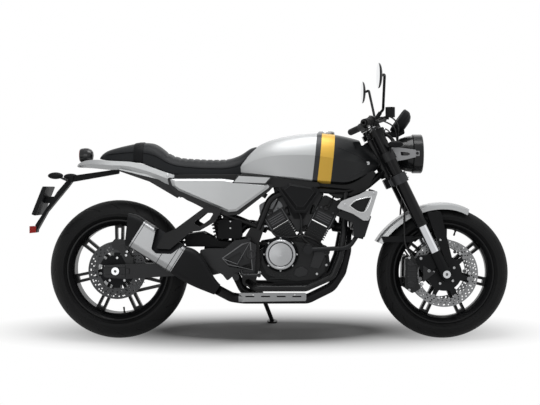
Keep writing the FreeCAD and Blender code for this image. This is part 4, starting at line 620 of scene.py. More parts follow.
def lip_mask(tree, place):
    """The dark lip under the tail cowl."""
    half, back = 105, -736
    below = line_side(tree, place, (-466, 703), (-735, 769))
    return both_true(tree, over(tree, below, 0), under(tree, off_middle(tree, place), half),
                     over(tree, place.outputs["X"], back))


def recess_mask(tree, place):
    """The dark recess of the silencer round its hanger, and the seams across the can."""
    floor, seams, half_seam = -255.4, (-5, -24, -74, -206), 1.3
    inside = within(tree, place, [(-570, 400), (-476, 395), (-380, 468), (-430, 570), (-552, 520)])
    mask = both_true(tree, inside, over(tree, place.outputs["Y"], floor))
    along = distance_along(tree, place, CAN_FRONT, (math.cos(CAN_TILT), -math.sin(CAN_TILT)))
    for seam in seams:
        near = math_node(tree, "ABSOLUTE", math_node(tree, "SUBTRACT", along, seam))
        mask = math_node(tree, "MAXIMUM", mask, under(tree, near, half_seam))
    return mask


def carrier_mask(tree, place):
    """The dark middle of the front discs, without the bright buttons."""
    rim, middle, face = 115.5, 100, 70.8
    far = distance_from(tree, place, FRONT_AXLE)
    low = both_true(tree, under(tree, off_middle(tree, place), face), under(tree, far, rim))
    return math_node(tree, "MAXIMUM", under(tree, far, middle), low)


def rear_carrier_mask(tree, place):
    """The dark middle of the rear disc."""
    rim = 80
    return under(tree, distance_from(tree, place, REAR_AXLE), rim)


def clutch_mask(tree, place):
    """The grey disc and the bright ring of the clutch cover on the right side."""
    disc, ring_in, ring_out, face = 66.5, 51, 54, -120
    far = distance_from(tree, place, CLUTCH)
    ring = both_true(tree, over(tree, far, ring_in), under(tree, far, ring_out))
    right = under(tree, place.outputs["Y"], face)
    return both_true(tree, under(tree, far, disc), opposite(tree, ring), right)


def cam_cover_mask(tree, place):
    """The lighter cam cover on top of the rear cylinder."""
    foot, lean = 253, math.radians(REAR_BANK)
    along = distance_along(tree, place, CRANK, (math.sin(lean), math.cos(lean)))
    return both_true(tree, over(tree, along, foot), under(tree, place.outputs["X"], CRANK.x))


def shield_mask(tree, place):
    """The bright heat shield outside the lower pipe."""
    face = -115.4
    inside = within(tree, place, [(-190, 174), (113, 178), (113, 218), (-190, 218)])
    return both_true(tree, inside, under(tree, place.outputs["Y"], face))


def inset_mask(tree, place):
    """The sunken middle of the radiator shrouds."""
    floor = 169.6
    return under(tree, off_middle(tree, place), floor)


def bracket_mask(tree, place):
    """The dark outer sides of the headlamp bracket."""
    face = 96.5
    return over(tree, off_middle(tree, place), face)


def glass_mask(tree, place):
    """The faces of the mirrors that look back."""
    front, low = 405.3, 1090
    return both_true(tree, under(tree, place.outputs["X"], front), over(tree, place.outputs["Z"], low))


def reflector_mask(tree, place):
    """The reflector low on the back of the plate holder."""
    front, top = -1116, 512
    return both_true(tree, under(tree, place.outputs["X"], front), under(tree, place.outputs["Z"], top))


def behind(x):
    """A mask of all that lies behind a plane across the machine."""
    return lambda tree, place: under(tree, place.outputs["X"], x)


def ahead(x):
    """A mask of all that lies ahead of a plane across the machine."""
    return lambda tree, place: over(tree, place.outputs["X"], x)


def finish_set(silver):
    """Every plain finish by the name of its slot in the record: colour, roughness and the rest."""
    plain = {
        "black_alloy": ((0.006, 0.0062, 0.0068), 0.34,
                        dict(metal=0.1, coat=0.06, grain=0.1, Specular_IOR_Level=0.14)),
        "disc_steel": ((0.42, 0.425, 0.43), 0.34, dict(metal=0.8, grain=0.1)),
        "chain_steel": ((0.06, 0.06, 0.06), 0.42, dict(metal=0.8)),
        "frame_paint": ((0.007, 0.0072, 0.0078), 0.34, dict(coat=0.08, Specular_IOR_Level=0.16)),
        "arm_alloy": ((0.011, 0.0115, 0.0125), 0.38, dict(metal=0.3, grain=0.15, Specular_IOR_Level=0.3)),
        "bright_steel": ((0.55, 0.56, 0.57), 0.22, dict(metal=1.0)),
        "black_gloss": ((0.006, 0.006, 0.0068), 0.18, dict(coat=0.1, marks=0.04, Specular_IOR_Level=0.12)),
        "silver_paint": (silver, 0.34, dict(metal=0.35, coat=0.5, grain=0.04, size=0.35)),
        "dark_plastic": ((0.0095, 0.0098, 0.0105), 0.52, dict(grain=0.35, size=0.5)),
        "dark_gloss": ((0.008, 0.0085, 0.009), 0.26, dict(coat=0.12, marks=0.02, Specular_IOR_Level=0.2)),
        "caliper_alloy": ((0.013, 0.0135, 0.014), 0.36, dict(metal=0.4, grain=0.15, Specular_IOR_Level=0.3)),
        "grip_rubber": ((0.009, 0.009, 0.009), 0.72, dict(grain=0.4)),
        "lens_clear": ((0.9, 0.93, 0.95), 0.05, dict(grain=0.0, marks=0.02, Transmission_Weight=0.92)),
        "silver_alloy": ((0.42, 0.43, 0.44), 0.36, dict(metal=0.6, grain=0.1)),
        "engine_iron": ((0.011, 0.0115, 0.012), 0.48,
                        dict(metal=0.3, grain=0.5, size=0.8, Specular_IOR_Level=0.25)),
        "dark_alloy": ((0.009, 0.0095, 0.0105), 0.45, dict(metal=0.3, grain=0.2, Specular_IOR_Level=0.25)),
        "seat_cover": ((0.011, 0.0118, 0.0135), 0.6, dict(grain=0.5, size=1.2)),
    }
    return {slot: finish(slot, colour, rough, **rest) for slot, (colour, rough, rest) in plain.items()}


def add_bump(made, height, distance, strength=1.0):
    """A bump over the fine surface of a material."""
    tree = made.node_tree
    shader, fine, _ = parts_of(made)
    bump = tree.nodes.new("ShaderNodeBump")
    set_inputs(bump, Distance=distance, Strength=strength)
    link(tree, height, bump.inputs["Height"])
    link(tree, fine.outputs["Normal"], bump.inputs["Normal"])
    link(tree, bump.outputs["Normal"], shader.inputs["Normal"])


def tyre_finish(name, axle, **sizes):
    """Black rubber with tread grooves, darkened inside the grooves as painted shade, for the tyre on one axle."""
    made = finish(name, (0.0055, 0.0057, 0.006), 0.6, grain=0.3, size=0.9, marks=0.2, Specular_IOR_Level=0.14)
    tree = made.node_tree
    _, fine, tone = parts_of(made)
    place = group_node(tree, "place")
    x, z = about(tree, place, axle)
    tread = group_node(tree, "tread")
    for label, socket in (("X", x), ("Y", place.outputs["Y"]), ("Z", z)):
        link(tree, socket, tread.inputs[label])
    set_inputs(tread, **sizes)
    add_bump(made, tread.outputs["Height"], 0.003)
    # Painted shade: the rubber's colour is darkened by three quarters inside the grooves
    dark = opposite(tree, math_node(tree, "MULTIPLY", tread.outputs["Groove"], 0.75))
    link(tree, math_node(tree, "MULTIPLY", fine.outputs["Brightness"], dark), tone.inputs["Scale"])
    return made


def holed(made, axle, **sizes):
    """Lets a disc's material be seen through in rows of holes."""
    tree = made.node_tree
    rows = group_node(tree, "holes")
    for label, socket in zip("XZ", about(tree, group_node(tree, "place"), axle)):
        link(tree, socket, rows.inputs[label])
    set_inputs(rows, **sizes)
    link(tree, opposite(tree, rows.outputs["Hole"]), parts_of(made)[0].inputs["Alpha"])
    return made


def special_finishes(silver):
    """Finishes of the nodes that don't simply take that of their slot, most of them in two colours."""
    paint = (silver, 0.34, 0.35)
    lens = (AMBER, 0.12, 0.0)
    skin = dict(grain=0.04, size=0.35, Specular_IOR_Level=0.25)
    front_disc = two_finish("front_disc_metal", ((0.21, 0.213, 0.217), 0.36, 0.8), (BLACK, 0.42, 0.8),
                            carrier_mask)
    rear_disc = two_finish("rear_disc_metal", ((0.05, 0.051, 0.053), 0.42, 0.7), (BLACK, 0.42, 0.7),
                           rear_carrier_mask)
    return {
        "fork_legs": two_finish("fork_leg_paint", (BLACK, 0.36, 0.3), ((0.55, 0.56, 0.58), 0.13, 1.0),
                                slider_mask),
        "side_panels": two_finish("side_panel_paint", (BLACK, 0.5, 0.0), paint, panel_mask, coats=(0.04, 0.4),
                                  **skin),
        "tail_cowl": two_finish("tail_cowl_paint", paint, (BLACK, 0.5, 0.0), lip_mask, coats=(0.4, 0.04),
                                **skin),
        "silencer": two_finish("silencer_shell", ((0.27, 0.274, 0.278), 0.3, 0.95), (DARK, 0.5, 0.9),
                               recess_mask, grain=0.02, marks=0.05),
        "front_discs": holed(front_disc, FRONT_AXLE, First_Radius=123, Row_Step=10, Count=40, Size=3.3),
        "rear_disc": holed(rear_disc, REAR_AXLE, First_Radius=96, Row_Step=11, Count=30, Size=3.2),
        "engine_covers": two_finish("engine_cover_paint", (DARK, 0.4, 0.5), (STEEL, 0.3, 0.9), clutch_mask,
                                    grain=0.3, size=0.8),
        "exhaust_pipes": two_finish("exhaust_paint", ((0.012, 0.012, 0.0128), 0.36, 0.5),
                                    ((0.22, 0.224, 0.228), 0.34, 0.9), shield_mask),
        "radiator_shrouds": two_finish("shroud_paint", ((0.42, 0.425, 0.43), 0.34, 0.7), (BLACK, 0.5, 0.7),
                                       inset_mask),
        "mirrors": two_finish("mirror_paint", (BLACK, 0.4, 0.2), ((0.72, 0.74, 0.76), 0.05, 1.0), glass_mask),
        "plate_holder": two_finish("plate_holder_paint", (BLACK, 0.5, 0.0), ((0.42, 0.012, 0.008), 0.2, 0.0),
                                   reflector_mask),
        "cylinders": two_finish("cylinder_paint", ((0.013, 0.0135, 0.014), 0.4, 0.4),
                                ((0.12, 0.123, 0.127), 0.35, 0.7), cam_cover_mask, grain=0.3, size=0.8,
                                Specular_IOR_Level=0.25),
        "tail_lamp": two_finish("tail_lamp_shell", (BLACK, 0.3, 0.0), ((0.30, 0.008, 0.006), 0.12, 0.0),
                                behind(-918), coat=0.5),
        "front_indicators": two_finish("front_indicator_shell", (BLACK, 0.4, 0.0), lens, ahead(540)),
        "rear_indicators": two_finish("rear_indicator_shell", (BLACK, 0.4, 0.0), lens, behind(-1034)),
        "front_tyre": tyre_finish("front_tyre_rubber", FRONT_AXLE, Count=22, Half_Width=60, Shoulder=268),
        "rear_tyre": tyre_finish("rear_tyre_rubber", REAR_AXLE, Count=20, Half_Width=89, Shoulder=276),
        "bottom_yoke": finish("yoke_alloy", (0.045, 0.046, 0.049), 0.36, metal=0.5, grain=0.15),
        "headlamp_bracket": two_finish("lamp_bracket_paint", ((0.26, 0.264, 0.27), 0.36, 0.5),
                                       (BLACK, 0.4, 0.5), bracket_mask),
    }


def seat_finish():
    """Charcoal seat cover with a fine leather grain."""
    made = finish("seat_leather", (0.008, 0.009, 0.0105), 0.5, grain=0.5, size=1.2, Specular_IOR_Level=0.15)
    tree = made.node_tree
    cells = tree.nodes.new("ShaderNodeTexVoronoi")
    set_inputs(cells, Scale=480.0)
    link(tree, tree.nodes.new("ShaderNodeTexCoord").outputs["Object"], cells.inputs["Vector"])
    add_bump(made, cells.outputs["Distance"], 0.0004, 0.5)
    return made


# Finishes of the added pieces: (name, linear RGB, roughness, the rest)
TRIM = {
    "screw": ("screw_steel", (0.40, 0.405, 0.41), 0.28, dict(metal=1.0)),
    "hose": ("hose_rubber", (0.009, 0.009, 0.0095), 0.5, dict(grain=0.2, Specular_IOR_Level=0.3)),
    "pipe": ("coolant_pipe", (0.42, 0.43, 0.44), 0.25, dict(metal=1.0)),
    "casting": ("black_casting", (0.012, 0.0125, 0.0135), 0.42,
                dict(metal=0.3, grain=0.5, size=0.8, Specular_IOR_Level=0.35)),
    # Painted highlight: the cylinders' raised ribs take an alloy far lighter than the castings, for light along
    # their edges
    "rib": ("rib_alloy_painted_highlight", (0.07, 0.071, 0.074), 0.3, dict(metal=0.8, grain=0.2)),
    # Painted highlight: the footrest plates' raised ribs are painted lighter, for light on their edges
    "plate rib": ("plate_rib_alloy", (0.10, 0.101, 0.104), 0.34, dict(metal=0.7, grain=0.15)),
    "rail cover": ("rail_cover_plastic", (0.009, 0.0092, 0.0098), 0.5,
                   dict(grain=0.35, size=0.5, Specular_IOR_Level=0.2)),
    "shroud ring": ("shroud_ring_metal", (0.62, 0.625, 0.63), 0.26, dict(metal=0.7)),
    "seam": ("tank_seam_paint", STRIPE_EDGE, 0.35, dict(grain=0.04)),
    "plate": ("blank_plate", (0.62, 0.62, 0.60), 0.35, dict(coat=0.3, grain=0.03)),
    "dial": ("dial_face", (0.008, 0.0085, 0.0095), 0.12, dict(coat=0.6, grain=0.0)),
    "mark": ("dial_marks", (0.7, 0.7, 0.7), 0.5, dict(grain=0.02)),
    "reflector": ("lamp_reflector", (0.75, 0.76, 0.78), 0.08, dict(metal=1.0, grain=0.0, marks=0.03)),
    "strap": ("strap_cover", (0.005, 0.0052, 0.006), 0.55, dict(grain=0.4, size=0.9)),
}


def trim_finish(key):
    """The finish of an added piece, by its key in TRIM, or that of the seat."""
    if key == "seat":
        return seat_finish()
    name, colour, rough, rest = TRIM[key]
    return finish(name, colour, rough, **rest)


# Settings, and one operator for each piece or group of like pieces
class MotorcyclePaint(bpy.types.PropertyGroup):
    """Colours of the bodywork."""
    silver: bpy.props.FloatVectorProperty(
        name="Silver", description="Main colour of the bodywork", size=3, subtype="COLOR", default=SILVER,
        min=0, max=1)
    charcoal: bpy.props.FloatVectorProperty(
        name="Charcoal", description="Front of the tank", size=3, subtype="COLOR", default=CHARCOAL,
        min=0, max=1)
    yellow: bpy.props.FloatVectorProperty(
        name="Yellow", description="Stripe over the tank", size=3, subtype="COLOR", default=YELLOW,
        min=0, max=1)
    stripe: bpy.props.FloatProperty(
        name="Stripe Width", description="Width of the yellow stripe", unit="LENGTH", default=0.060,
        min=0.0, max=0.2)


class MOTO_OT_finishes(bpy.types.Operator):
    """Give every CAD node the finish of its slot or its own"""
    bl_idname = "moto.finishes"
    bl_label = "Finishes"

    def execute(self, context):
        silver = tuple(context.scene.motorcycle_paint.silver)
        for obj in frame["nodes"].values():
            obj.data.materials.clear()
        for old in list(bpy.data.materials):
            if not old.users:
                bpy.data.materials.remove(old)
        slots = {part["node"]: part["material_slot"] for part in frame["record"]["subparts"]}
        plain, special = finish_set(silver), special_finishes(silver)
        for name, obj in frame["nodes"].items():
            obj.data.materials.append(special.get(name) or plain[slots[name]])
            obj.data.shade_smooth()
            obj.data.set_sharp_from_angle(angle=math.radians(28))
        return {"FINISHED"}


class MOTO_OT_tank_paint(bpy.types.Operator):
    """Paint the tank: silver behind, a yellow stripe with dark edges, charcoal in front"""
    bl_idname = "moto.tank_paint"
    bl_label = "Tank Paint"

    def execute(self, context):
        paint = context.scene.motorcycle_paint
        edge_start, stripe_start, height, slant = 160.0, 183.0, 913, 0.11
        colour = tuple(paint.silver)
        made = finish("tank_paint", colour, 0.43, metal=0.3, coat=0.1, grain=0.04, size=0.35,
                      Specular_IOR_Level=0.3, Coat_Roughness=0.2)
        tree = made.node_tree
        place = group_node(tree, "place")
        above = math_node(tree, "SUBTRACT", place.outputs["Z"], height)
        slanted = math_node(tree, "SUBTRACT", place.outputs["X"], math_node(tree, "MULTIPLY", above, slant))
        for start, shade in ((edge_start, STRIPE_EDGE), (stripe_start, tuple(paint.yellow)),
                             (stripe_start + paint.stripe * 1000, tuple(paint.charcoal))):
            colour = mixed_colour(tree, over(tree, slanted, start, 0.6), colour, shade)
        link(tree, colour, parts_of(made)[0].inputs["Base Color"])
        frame["nodes"]["fuel_tank"].data.materials[0] = made
        return {"FINISHED"}


class MOTO_OT_wheel_trim(bpy.types.Operator):
    """Valves, disc buttons and carrier screws of both wheels"""
    bl_idname = "moto.wheel_trim"
    bl_label = "Wheel Trim"

    def execute(self, context):
        carrier, button_circle, screw_circle = 70.6, 113, 50
        button = [(0, -1), (7.5, -1), (7.5, 2), (6.4, 3.4), (3.2, 3.4), (3, 1.6), (0, 1.6)]
        bm = bmesh.new()
        for side in (-1, 1):
            for x, z in round_spots(FRONT_AXLE, button_circle, even_angles(0, 7)):
                add_lathe(bm, (x, side * carrier, z), (0, side, 0), button, 16)
            for x, z in round_spots(FRONT_AXLE, screw_circle, even_angles(30, 5)):
                add_screw(bm, (x, side * carrier, z), (0, side, 0), 6.5, 6)
        piece("front_disc_buttons", bm, "screw", "front_wheel")
        bm = bmesh.new()
        for side, face, radius, first, height in ((-1, -86.6, 56, 18, 5), (1, 108.5, 62, 36, 6)):
            for x, z in round_spots(REAR_AXLE, radius, even_angles(first, 5)):
                add_screw(bm, (x, face, z), (0, side, 0), 6, height)
        piece("rear_disc_screws", bm, "screw", "rear_wheel")
        rim = 201
        stem = [(0, 0), (6, 0), (5, 6), (3.6, 8), (3.6, 16), (4.4, 16), (4.4, 24), (3.4, 26), (0, 26)]
        for body, axle, angle in (("front_wheel", FRONT_AXLE, 72), ("rear_wheel", REAR_AXLE, -84)):
            away = Vector((math.cos(math.radians(angle)), 0, math.sin(math.radians(angle))))
            bm = bmesh.new()
            add_lathe(bm, axle + away * rim, -away, stem, 12)
            piece(body.replace("wheel", "valve"), bm, "hose", body)
        return {"FINISHED"}


class MOTO_OT_brake_trim(bpy.types.Operator):
    """Ribs, pistons, screws and hoses of the front brakes"""
    bl_idname = "moto.brake_trim"
    bl_label = "Brake Trim"

    def execute(self, context):
        calipers, face, casting = ["front_calipers"], -98, 110.5
        body = [(566, 352), (600, 348), (606, 326), (606, 256), (596, 234), (566, 246)]
        bm = bmesh.new()
        add_pad(bm, calipers, body, -1, 5, 2)
        for z in (258, 286, 314, 342):
            add_prism(bm, box_outline(563, z - 3, 612, z + 3), face, face - 9)
        for z in (345, 252):
            add_lathe(bm, (582, face, z), -Y, [(0, -2), (16, -2), (16, 5), (13, 8), (0, 8)], 24)
        add_prism(bm, [(636, 338), (690, 306), (636, 262)], -110, -114)
        add_mirror(bm)
        piece("front_caliper_ribs", bm, "casting", "steering", bevel=1.2)
        bm = bmesh.new()
        for side in (-1, 1):
            add_screws(bm, calipers, [(575, 372), (575, 228)], side, 6.5, 6)
            for forward, up in ((-70, 112), (-62, 46)):
                add_screw(bm, fork_point(forward, side * casting, up), (0, side, 0), 7, 6)
        piece("front_caliper_screws", bm, "screw", "steering")
        route = ((62, 40, 640), (34, 60, 560), (-2, 74, 400), (-40, 76, 330), (-76, 84, 262), (-104, 88, 190))
        bm = bmesh.new()
        for side in (-1, 1):
            start = (["top_yoke", "bottom_yoke", "headlamp_bracket"], fork_point(60, side * 22, 700))
            middle = [fork_point(forward, side * out, up) for forward, out, up in route]
            add_hose(bm, start, middle, (calipers, (598, side * 92, 366)), 4)
        piece("front_brake_hoses", bm, "hose", "steering")
        return {"FINISHED"}


class MOTO_OT_fork_trim(bpy.types.Operator):
    """Seals, caps and screws of the fork and its yokes"""
    bl_idname = "moto.fork_trim"
    bl_label = "Fork Trim"

    def execute(self, context):
        up, forward = fork_point(0, 0, 1) - FRONT_AXLE, fork_point(1, 0, 0) - FRONT_AXLE
        leg = 105
        seal = [(22.5, 0), (28.6, 0), (28.6, 14), (27.8, 16), (22.5, 16)]
        cap = [(0, 0), (26, 0), (26, 3), (17, 5), (17, 11), (0, 11)]
        bm = bmesh.new()
        for side in (-1, 1):
            add_lathe(bm, fork_point(0, side * leg, 240), up, seal, 40)
            add_lathe(bm, fork_point(0, side * leg, 720), up, cap, 6)
        piece("fork_seals", bm, "casting", "steering")
        bm = bmesh.new()
        for side in (-1, 1):
            for high in (464, 484, 702):
                add_screw(bm, fork_point(30, side * 78, high), forward, 6, 14)
            add_screw(bm, fork_point(18, side * 16, 786), up, 5, 5)
            add_screw(bm, fork_point(0, side * leg, 729), up, 7, 6)
            add_screws(bm, ["mudguard_stays"], [(714, 452)], side, 5, 4)
        piece("fork_screws", bm, "screw", "steering")
        return {"FINISHED"}


# Rows along the seat, from its back: (x, height of its top, height of its lower edge, half width)
SEAT_ROWS = [(-822, 828, 817, 40), (-806, 845, 814, 66), (-774, 862, 811, 84), (-706, 880, 806, 96),
             (-638, 892, 800, 102), (-580, 889, 780, 106), (-543, 870, 766, 110), (-510, 844, 753, 112),
             (-457, 824, 742, 114), (-366, 817, 732, 115), (-299, 815, 730, 112), (-240, 818, 731, 104),
             (-185, 836, 745, 90), (-140, 866, 800, 74), (-112, 874, 850, 66)]

# The stretch that has sewn channels across it, and the distance between two of them
CHANNELS_BACK, CHANNELS_FRONT, CHANNEL_STEP = -528, -236, 29.2


def seat_row(rows, x):
    """The measures of the seat at a place along it."""
    after = next(k for k in range(1, len(rows)) if rows[k][0] >= x)
    one, two = rows[after - 1], rows[after]
    share = (x - one[0]) / (two[0] - one[0])
    return [a + (b - a) * share for a, b in zip(one, two)]


def seat_loop(bm, rows, x, lift=0.0, tuck=0.0):
    """The corners of one section of the seat, from one lower edge over the top to the other one."""
    _, top, foot, wide = seat_row(rows, x)
    inset = 1.2
    high = top - foot
    corners = [(0, top), (0.62 * wide, top - 0.1 * high), (0.93 * wide, top - 0.42 * high),
               (wide, foot + 0.1 * high), (0.96 * wide, foot)]
    half = []
    for y, z in smooth_rows(corners, 5):
        flat = max(0.0, 1 - (y / (0.86 * wide)) ** 4)
        out = y - inset + lift if y > 0.5 else y
        half.append((out, z - inset + lift - tuck * flat))
    return [bm.verts.new((x, y, z)) for y, z in [(-y, z) for y, z in half[::-1]] + half[1:]]


def tuck_depth(x):
    """How far the sewn channels sink the rider's part of the seat; under 0 where the padding swells."""
    if not CHANNELS_BACK < x < CHANNELS_FRONT:
        return 0.0
    near = abs((x - CHANNELS_BACK) % CHANNEL_STEP / CHANNEL_STEP - 0.5)
    return 5.0 * math.exp(-(near / 0.10) ** 2) - 0.6


def seat_stations(start, end):
    """Places of the sections along the seat, closer together where the channels are."""
    stations = []
    x = start
    while x < end:
        stations.append(x)
        x += 4.2 if CHANNELS_BACK - 4 < x < CHANNELS_FRONT + 4 else 11.0
    return stations + [end]


class MOTO_OT_seat(bpy.types.Operator):
    """The padded seat with sewn channels, a strap over its hump and piping along its sides"""
    bl_idname = "moto.seat"
    bl_label = "Seat"

    def execute(self, context):
        rows = smooth_rows(SEAT_ROWS, 3)
        bm = bmesh.new()
        loops = [seat_loop(bm, rows, x, tuck=tuck_depth(x)) for x in seat_stations(rows[0][0], rows[-1][0])]
        for one, two in zip(loops, loops[1:]):
            bridge(bm, one, two)
        bm.faces.new(loops[0][::-1])
        bm.faces.new(loops[-1])
        seat = piece("seat_cushion", bm, "seat", "chassis", smooth=50)
        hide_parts("seat")
        strap = ((-664, -1), (-663, 2.6), (-660, 3.2), (-642, 3.6), (-624, 3.2), (-621, 2.6), (-620, -1))
        bm = bmesh.new()
        loops = [seat_loop(bm, rows, x, lift) for x, lift in strap]
        for one, two in zip(loops, loops[1:]):
            bridge(bm, one, two, closed=False)
        piece("seat_strap", bm, "strap", "chassis", smooth=50)
        bm = bmesh.new()
        for side in (-1, 1):
            line = [(x, side * (wide * 0.955 - 0.4), (top + foot) / 2) for x, top, foot, wide in rows[5:-4]]
            add_tube(bm, line, 1.7, 8)
        piece("seat_piping", bm, "strap", "chassis")
        return {"FINISHED"}


class MOTO_OT_body_trim(bpy.types.Operator):
    """Screws of the tank, shrouds, cowl, side boxes and exhaust, and the filler's ring"""
    bl_idname = "moto.body_trim"
    bl_label = "Body Trim"

    def execute(self, context):
        bm = bmesh.new()
        for side in (-1, 1):
            add_screws(bm, ["fuel_tank"], [(392, 797)], side, 8, 2.4)
            add_screws(bm, ["radiator_shrouds"], [(282, 611), (386, 553), (410, 660)], side, 6, 4)
            add_screws(bm, ["tail_cowl"], [(-508, 744)], side, 6, 4)
            add_screws(bm, ["side_boxes"], [(-228, 535), (-228, 505)], side, 4, 3)
        piece("body_screws", bm, "screw", "chassis")
        bm = bmesh.new()
        add_screws(bm, ["exhaust_pipes"], [(-125, 208), (60, 208)], -1, 5, 3)
        piece("exhaust_screws", bm, "screw", "chassis")
        filler = Vector((207, 0, 939))
        ring = [(0, 0), (35, 0), (35, 3), (32, 5), (24, 5), (22, 3.6), (0, 3.6)]
        bm = bmesh.new()
        add_lathe(bm, filler, Z, ring, 48)
        add_box(bm, filler + 5 * Z, (34, 8, 4))
        piece("fuel_cap_ring", bm, "screw", "chassis", bevel=0.6)
        return {"FINISHED"}


def cylinder_point(bank, across, along):
    """Side-view place in the frame of one cylinder: across it and along it from the crank."""
    a = math.radians(bank)
    return (CRANK.x + along * math.sin(a) + across * math.cos(a),
            CRANK.z + along * math.cos(a) - across * math.sin(a))


def cylinder_box(bank, left, low, right, high):
    """The side-view outline of a box in the frame of one cylinder."""
    corners = ((left, low), (left, high), (right, high), (right, low))
    return [cylinder_point(bank, across, along) for across, along in corners]


class MOTO_OT_engine_trim(bpy.types.Operator):
    """Screws, panels and ribs of the engine"""
    bl_idname = "moto.engine_trim"
    bl_label = "Engine Trim"

    def execute(self, context):
        covers, case, banks = ["engine_covers", "crankcase"], ["crankcase"], ["cylinders"]
        bm = bmesh.new()
        add_screws(bm, covers, round_spots(CLUTCH, 72.5, (43, 90, 137, 180, 223, 270, 317, 0)), -1, 4.2, 3)
        add_screws(bm, covers, round_spots(CRANK, 66, even_angles(20, 6)), 1, 4.2, 3)
        for side in (-1, 1):
            add_screws(bm, ["crankcase", "frame"], [(-96, 304), (205, 337), (160, 300)], side, 6, 5)
        piece("engine_screws", bm, "screw", "chassis")
        low = [(56, 296), (64, 326), (96, 334), (122, 318), (114, 292), (78, 284)]
        front = [(128, 330), (150, 404), (186, 414), (196, 380), (170, 322)]
        bm = bmesh.new()
        for side in (-1, 1):
            add_pad(bm, case, low, side, 4, 4)
            add_pad(bm, case, front, side, 5, 4)
            for bank in (REAR_BANK, FRONT_BANK):
                add_pad(bm, banks, cylinder_box(bank, -40, 196, 40, 244), side, 4, 4)
        piece("engine_panels", bm, "casting", "chassis", bevel=1.5)
        bm = bmesh.new()
        for side in (-1, 1):
            for bank in (REAR_BANK, FRONT_BANK):
                for along in (204, 214, 224, 234):
                    add_pad(bm, banks, cylinder_box(bank, -34, along - 2, 34, along + 2), side, 7, 2)
                for across in (-44, 44):
                    add_pad(bm, banks, cylinder_box(bank, across - 2, 150, across + 2, 250), side, 5, 2)
                spots = [cylinder_point(bank, across, 256) for across in (-30, 30)]
                add_screws(bm, banks, spots, side, 5, 3)
        # The ribs are real raised pieces; their lighter finish is a painted highlight along the fins
        piece("cylinder_ribs_painted_highlight", bm, "rib", "chassis", bevel=0.4)
        return {"FINISHED"}


class MOTO_OT_engine_hoses(bpy.types.Operator):
    """Plug leads, hoses and the coolant elbow on the right side of the engine"""
    bl_idname = "moto.engine_hoses"
    bl_label = "Engine Hoses"

    def execute(self, context):
        case, banks = ["crankcase"], ["cylinders"]
        plug = [(0, -3), (13, -3), (13, 4), (10, 7), (10, 16), (0, 16)]
        bm = bmesh.new()
        for bank in (REAR_BANK, FRONT_BANK):
            start = sure_landing(banks, *cylinder_point(bank, -8, 262), -1)
            add_lathe(bm, start, -Y, plug, 20)
            lead = [start + Vector(step) for step in ((0, -12, 0), (14, -20, 14), (30, -6, 44), (38, 30, 62))]
            lead.append(seated(["fuel_tank", "frame", "airbox_covers"], lead[-1]))
            add_tube(bm, smooth_rows(lead, 6), 4, 10)
        for start, middle, end in (
                ((banks, (-60, -70, 482)),
                 [(-20, -82, 470), (40, -84, 462), (96, -80, 470), (150, -78, 452)],
                 (case, (190, -70, 424))),
                ((banks, (-92, -58, 520)), [(-110, -66, 500), (-112, -70, 470)],
                 (["frame"], (-96, -74, 448))),
                ((banks, (118, -60, 520)), [(96, -76, 500), (92, -82, 470), (110, -84, 446)],
                 (case, (150, -82, 436)))):
            add_hose(bm, start, middle, end, 5)
        piece("engine_hoses", bm, "hose", "chassis")
        bm = bmesh.new()
        add_hose(bm, (["frame"], (-132, -52, 466)), [(-120, -56, 490), (-98, -58, 506), (-70, -53, 512)],
                 (banks, (-60, -52, 512)), 9, 14)
        add_lathe(bm, (-66, -52, 512), (1, 0.2, 0.1), [(0, 0), (12, 0), (12, 10), (0, 10)], 20)
        piece("coolant_elbow", bm, "pipe", "chassis")
        return {"FINISHED"}


class MOTO_OT_intake(bpy.types.Operator):
    """Intake body, throttle bodies, breather hoses and cover edges between the cylinders"""
    bl_idname = "moto.intake"
    bl_label = "Intake"

    def execute(self, context):
        body = [(70, 486), (108, 486), (122, 512), (192, 652), (196, 694), (-36, 694), (-26, 645), (58, 506)]
        bm = bmesh.new()
        add_prism(bm, body, -58, 58)
        piece("intake_body", bm, "casting", "chassis", bevel=5.0)
        throttle = [(0, 0), (23, 0), (23, 12), (19, 15), (19, 34), (25, 36), (25, 48), (0, 48)]
        middle, rise = 89, 18
        bm = bmesh.new()
        for side in (-1, 1):
            for bank, across in ((REAR_BANK, 28.6), (FRONT_BANK, -28.6)):
                x, z = cylinder_point(bank, across, 232)
                lean = Vector((0.65 * (middle - x), side * 26, rise))
                add_lathe(bm, (x, side * 30, z), lean, throttle, 28)
        for side, top, low in ((-1, 60, 70), (1, 120, 110)):
            add_hose(bm, (["airbox_covers"], (top, side * 66, 640)),
                     [(88, side * 84, 560), (91, side * 80, 500)], (["crankcase"], (low, side * 74, 470)), 5)
        face = [(14, 676), (40, 696), (132, 682), (144, 664), (100, 604), (70, 604)]
        edge = [(-8, 684), (32, 712), (144, 694), (163, 666), (106, 584), (64, 584)]
        for side in (-1, 1):
            for outline, depth, radius in ((face, 134, 1.2), (edge, 121, 1.6)):
                add_tube(bm, [(x, side * depth, z) for x, z in outline + outline[:1]], radius, 8)
        piece("throttle_bodies", bm, "casting", "chassis")
        return {"FINISHED"}


